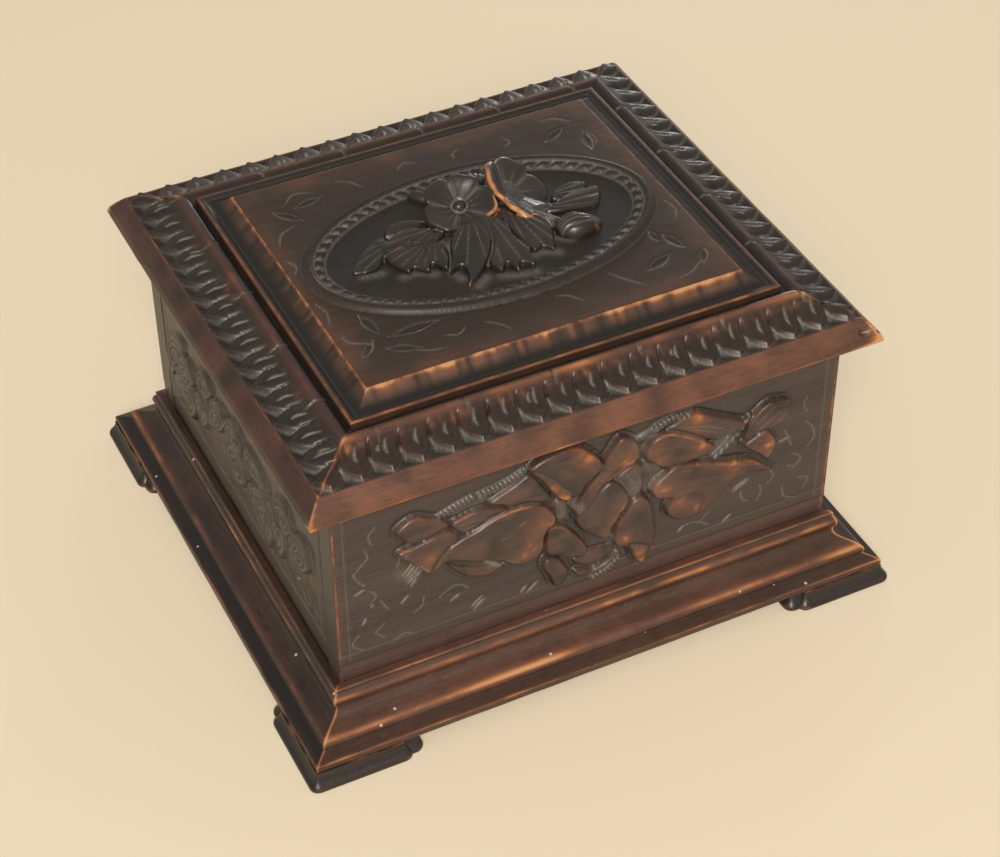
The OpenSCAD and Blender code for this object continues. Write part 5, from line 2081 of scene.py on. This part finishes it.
    def lump(self, place: Triple, size: Triple, turn: Triple) -> Piece:
        """Makes a rounded lump.

        Args:
            place: Its middle, above the field.
            size: Its half sizes.
            turn: Its turn in degrees.

        Returns:
            The lump.
        """
        bpy.ops.object.select_all(action="DESELECT")
        at = Vector((place[0], place[1], place[2] + self.sizes.field_z)) * MM
        bpy.ops.mesh.primitive_uv_sphere_add(segments=32, ring_count=20, radius=MM, location=at,
                                             rotation=[math.radians(t) for t in turn], scale=size)
        bpy.ops.object.transform_apply(location=True, rotation=True, scale=True)
        return bpy.context.object

    def build(self, material: Material) -> Piece:
        """Joins the leaves and flowers into one carved piece.

        Args:
            material: Its finish.

        Returns:
            The spray.
        """
        parts = [self.bed(), self.roll(), *(self.bowl(flower) for flower in self.flowers),
                 *(self.lump(*lump) for lump in self.lumps)]
        piece = join("carved_flower_spray", parts)
        modify(piece, "REMESH", mode="VOXEL", voxel_size=self.voxel * MM)
        modify(piece, "SMOOTH", factor=0.3, iterations=1)
        # The block is sawn flat where it lies on the panel
        foot = (self.sizes.field_z - 0.5) * MM
        cut_box(piece, (-0.1, -0.1, foot - 0.05), (0.1, 0.1, foot))
        self.rub(piece)
        return place_piece(piece, material, 60.0, "lid", "spray_wood", "lid_flower_spray")

    def rub(self, piece: Piece) -> None:
        """Wears the rims, edges and tips, lays dust in the grooves and carries over the leaves'
        painted shade.

        Args:
            piece: The carved block.
        """
        x, y, z = (read_points(piece) / MM - (0.0, 0.0, self.sizes.field_z)).T
        canvas = self.canvas
        at = tuple(np.rint(np.interp(place, axis, np.arange(len(axis)))).astype(int)
                   for place, axis in ((y, canvas.v), (x, canvas.u)))
        # The leaves take the marks of their canvas, the flowers above them their own
        low = ease(1.2, 0.5, z - canvas.height[at])
        wear = low * (0.95 * canvas.wear[at] + 0.8 * ease(0.08, 0.3, bulge(piece, 5)))
        dust = low * canvas.dust[at] * 1.25
        for flower in self.flowers:
            rim, groove = flower.marks(np.column_stack([x, y, z]))
            wear = np.maximum(wear, rim * (1 - low) * 0.8)
            dust = np.maximum(dust, groove * (1 - low))
        rope = self.rope
        near, along = path_distance(x, y, rope[:, :2], False)
        run = np.append(0.0, np.cumsum(np.hypot(*np.diff(rope[:, :2], axis=0).T)))
        level = np.interp(along, run, rope[:, 2])
        rolled = ease(2.2, 0.9, near) * ease(2.6, 1.4, np.abs(z - level))
        crest = rolled * (0.45 + 0.5 * bell(near, 0.8)) * (0.85 + 0.25 * pebbles(x, y, 5.0, 71))
        add_marks(piece, wear=np.maximum(wear, crest), dust=dust * (1 - rolled),
                  shade=low * canvas.shade[at] * 0.6, tone=0.4 + 0.5 * pebbles(x, y, 9.0, 72))
        weather(piece, 0.1, 0.8, fine=4)


# Inside, back and hinges


@dataclass
class PlainPieces:
    """The CAD pieces whose own shape is right and which only need their finish."""

    cedar_x: tuple[str, ...] = ("lining_floor", "lining_front", "lining_back", "lid_lining")
    cedar_y: tuple[str, ...] = ("lining_left", "lining_right")
    walnut: tuple[str, ...] = ("back_board", "bottom_board")
    metal: tuple[str, ...] = ("case_leaf_left", "case_leaf_right", "lid_leaf_left",
                              "lid_leaf_right", "hinge_pin_left", "hinge_pin_right")

    def build(self, brass: Material) -> None:
        """Gives each piece its finish.

        Args:
            brass: The finish of the hinges.
        """
        for names, material in (
            (self.cedar_x, PlanedCedar("planed_cedar_long", Grain.X).build()),
            (self.cedar_y, PlanedCedar("planed_cedar_short", Grain.Y).build()),
            (self.walnut, StainedWalnut("stained_walnut_plain_board", Grain.X).build()),
            (self.metal, brass),
        ):
            for name in names:
                dress(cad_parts[name], material)
                LOG.info("%s keeps its CAD shape", name)


@dataclass
class HingeScrews:
    """Slotted brass screws, countersunk in the hinge leaves."""

    head_r: float = 2.2
    shank_r: float = 1.2
    length: float = 9.0
    slot: float = 0.5

    def model(self) -> Piece:
        """Turns one screw with its head up at the origin and saws its slot.

        Returns:
            The screw.
        """
        bpy.ops.object.select_all(action="DESELECT")
        bpy.ops.mesh.primitive_circle_add(vertices=24, radius=self.head_r * MM, fill_type="NGON")
        screw = bpy.context.object
        edit(screw, "SELECT")
        # The head's rim, the countersink, the shank and its tip, each with its depth and taper
        for depth, taper in ((0.1, 1.0), (1.0, self.shank_r / self.head_r),
                             (self.length - 2.1, 1.0), (1.0, 0.3)):
            bpy.ops.mesh.extrude_region_move(
                TRANSFORM_OT_translate={"value": (0, 0, -depth * MM)})
            bpy.ops.transform.resize(value=(taper, taper, 1.0), center_override=(0, 0, 0))
        leave_edit()
        saw = Vector((1.2 * self.head_r * MM, 0.5 * self.slot * MM, 0.6 * MM))
        cut_box(screw, -saw, saw)
        return screw

    def build(self, body: str, up: bool, material: Material) -> Piece:
        """Drives the six screws of one body.

        Args:
            body: The body, case or lid.
            up: Whether the heads look up.
            material: Their finish.

        Returns:
            The screws as one piece.
        """
        model = self.model()
        node = f"{body}_hinge_screws"
        low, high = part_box(node)
        leaf_low, leaf_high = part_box(f"{body}_leaf_right")
        pitch = (leaf_high.x - leaf_low.x + 0.2 * MM) / 3
        middle = (high.x - self.head_r * MM) - pitch
        rng = np.random.default_rng(5 if up else 6)
        copies = []
        for x in (side * middle + i * pitch for side in (-1, 1) for i in (-1, 0, 1)):
            copy = model.copy()
            copy.data = model.data.copy()
            bpy.context.scene.collection.objects.link(copy)
            turn = Matrix.Rotation(rng.uniform(0, math.pi), 4, "Z")
            flip = Matrix.Rotation(0.0 if up else math.pi, 4, "X")
            at = Matrix.Translation((x, (low.y + high.y) / 2, high.z if up else low.z))
            copy.data.transform(at @ flip @ turn)
            copies.append(copy)
        bpy.data.objects.remove(model)
        return place_piece(join(f"slotted_{node}", copies), material, 30.0, body, "brass", node)


# Camera, light and floor


@dataclass
class Studio:
    """The camera at the photograph's angle, soft light and a plain floor."""

    azimuth: float = -26.03
    elevation: float = 41.18
    tilt: float = -0.42
    lens: float = 85.9
    place: Triple = (-0.3675, -0.7698, 0.795)
    aim: Triple = (0.0, 0.0, 0.09)

    def camera(self) -> None:
        """Sets the camera."""
        az, el, roll = (math.radians(a) for a in (self.azimuth, self.elevation, self.tilt))
        back = Vector((math.sin(az) * math.cos(el), -math.cos(az) * math.cos(el), math.sin(el)))
        right = (-back).cross(Vector((0, 0, 1))).normalized()
        up = right.cross(-back)
        right, up = (math.cos(roll) * right + math.sin(roll) * up,
                     -math.sin(roll) * right + math.cos(roll) * up)
        data = bpy.data.cameras.new("camera")
        data.lens = self.lens
        data.sensor_width = 36.0
        data.sensor_fit = "HORIZONTAL"
        camera = bpy.data.objects.new("camera", data)
        turn = Matrix((right, up, back)).transposed()
        camera.matrix_world = Matrix.Translation(self.place) @ turn.to_4x4()
        bpy.context.scene.collection.objects.link(camera)
        bpy.context.scene.camera = camera

    def lamp(self, name: str, place: Triple, size: float, watts: float, colour: str) -> None:
        """Adds a soft lamp that looks at the box.

        Args:
            name: Its name.
            place: Where it hangs, in metres.
            size: Its width in metres.
            watts: Its power.
            colour: Its colour.
        """
        data = bpy.data.lights.new(name, "AREA")
        data.shape = "SQUARE"
        data.size = size
        data.energy = watts
        data.color = linear(colour)[:3]
        lamp = bpy.data.objects.new(name, data)
        lamp.location = place
        aim = Vector(self.aim) - Vector(place)
        lamp.rotation_euler = aim.to_track_quat("-Z", "Y").to_euler()
        bpy.context.scene.collection.objects.link(lamp)

    def build(self) -> None:
        """Sets the camera, the lamps, the world and the floor."""
        self.camera()
        self.lamp("room", (-1.5, -2.93, 2.78), 1.5, 140.0, "#fff8ee")
        self.lamp("window", (1.2, 1.7, 0.42), 0.35, 3.6, "#f6f8ff")
        scene = bpy.context.scene
        scene.view_settings.view_transform = "Standard"
        scene.world = bpy.data.worlds.new("soft_room")
        tree = clear_tree(scene.world)
        # The camera sees a pale backdrop, and the box a dimmer room
        seen, through = (add_node(tree, "LightPath", {}, f"Is {ray} Ray")
                         for ray in ("Camera", "Transmission"))
        seen = add_node(tree, "Math", {0: seen, 1: through}, operation="MAXIMUM")
        room = add_node(tree, "Background", {"Color": linear("#f6f2ea"), "Strength": 0.4})
        backdrop = add_node(tree, "Background", {"Color": linear("#efebe2"), "Strength": 1.0})
        mix = add_node(tree, "MixShader", {0: seen, 1: room, 2: backdrop})
        add_node(tree, "OutputWorld", {"Surface": mix})
        self.floor()

    def floor(self) -> None:
        """Lays the plain floor."""
        bpy.ops.object.select_all(action="DESELECT")
        bpy.ops.mesh.primitive_plane_add(size=6.0)
        floor = bpy.context.object
        floor.name = "floor"
        material = bpy.data.materials.new("pale_plain_floor")
        tree = clear_tree(material)
        shader = add_node(tree, "BsdfPrincipled", {"Base Color": linear("#ded0b6"),
                                                   "Roughness": 0.7})
        # A little more light for the camera alone, so that the floor is pale behind the dark box
        seen = add_node(tree, "LightPath", {}, "Is Camera Ray")
        glow = add_node(tree, "Emission", {"Color": linear("#efdcbc"),
                                           "Strength": times(tree, seen, 0.25)})
        both = add_node(tree, "AddShader", {0: shader, 1: glow})
        add_node(tree, "OutputMaterial", {"Surface": both})
        dress(floor, material)


def main() -> None:
    """Builds the box's looks, piece by piece."""
    logging.basicConfig(level=logging.INFO, format="%(message)s")
    sizes = Sizes.from_frame()
    Studio().build()
    # Hex colours of the stained fibres, dark, middle and red, and of handled wood. The left and
    # right sides' copies for the rails, the base and the feet are darker: painted shade on the
    # sides turned from the light.
    carved_x = StainedWalnut("stained_walnut_carved", Grain.X).build()
    carved_y = StainedWalnut("stained_walnut_ends", Grain.Y, "#342e28", "#4b433a", "#5a4d42",
                             "#4c4136").build()
    top = StainedWalnut("stained_walnut_panel", Grain.X, "#1e1814", "#27201b", "#31261f",
                        "#6e4a35", roughness=0.43, wax=0.1).build()
    long_strip = StainedWalnut("stained_walnut_mould_long", Grain.X, "#291d18", "#35261f",
                               "#422f26", "#7a4f3a", fibre=7.0, patch=30.0)
    short_strip = StainedWalnut("stained_walnut_mould_short", Grain.Y, "#1d1713", "#2b211c",
                                "#382a23", "#603c2e", worn="#8c5433", bare="#b98356", fibre=7.0,
                                patch=30.0)
    rail_x, rail_y = long_strip.build(), short_strip.build()
    base_x = replace(long_strip, name="stained_walnut_base_long", dark="#33251e", body="#3f2f26",
                     red="#4b392e", tone="#704c3d", specks=0.85).build()
    base_y = replace(short_strip, name="stained_walnut_base_short", specks=0.85).build()
    foot_x = StainedWalnut("stained_walnut_foot_long", Grain.X, "#221b18", "#352b27", "#463730",
                           "#54402f", wax=0.3).build()
    foot_y = StainedWalnut("stained_walnut_foot_short", Grain.Y, "#120f0d", "#1d1916", "#29211c",
                           "#3d2d24", wax=0.3).build()
    spray = StainedWalnut("handled_walnut_spray", Grain.X, "#181614", "#24211d", "#302822",
                          "#3c3029", worn="#a8683c", roughness=0.26, wax=0.35).build()
    end_w = sizes.case_d - 2 * sizes.board_t
    CarvedBoard("front_board", Side.FRONT, sizes.case_w, sizes, front_marks(), 4.9).build(carved_x)
    CarvedBoard("left_board", Side.LEFT, end_w, sizes, end_marks()).build(carved_y)
    CarvedBoard("right_board", Side.RIGHT, end_w, sizes, end_marks()).build(carved_y)
    base, rail, foot = BaseMoulding(sizes), LidRail(sizes), BracketFoot(sizes)
    for side in Side:
        base.build(side, base_x if side.along_x else base_y)
        rail.build(side, rail_x if side.along_x else rail_y)
    # The last name is that of the side's right end, as seen from outside
    for side, ends, right_end in (
            (Side.FRONT, ("left", "right"), "right"), (Side.BACK, ("left", "right"), "left"),
            (Side.LEFT, ("front", "back"), "front"), (Side.RIGHT, ("front", "back"), "back")):
        for end in ends:
            foot.build(f"foot_{side.name.lower()}_{end}", side, end == right_end,
                       foot_x if side.along_x else foot_y)
    LidPanel(sizes).build(top)
    FlowerSpray(sizes).build(spray)
    brass = AgedBrass().build()
    HingeScrews().build("case", True, brass)
    HingeScrews().build("lid", False, brass)
    PlainPieces().build(brass)


if __name__ == "__main__":
    main()
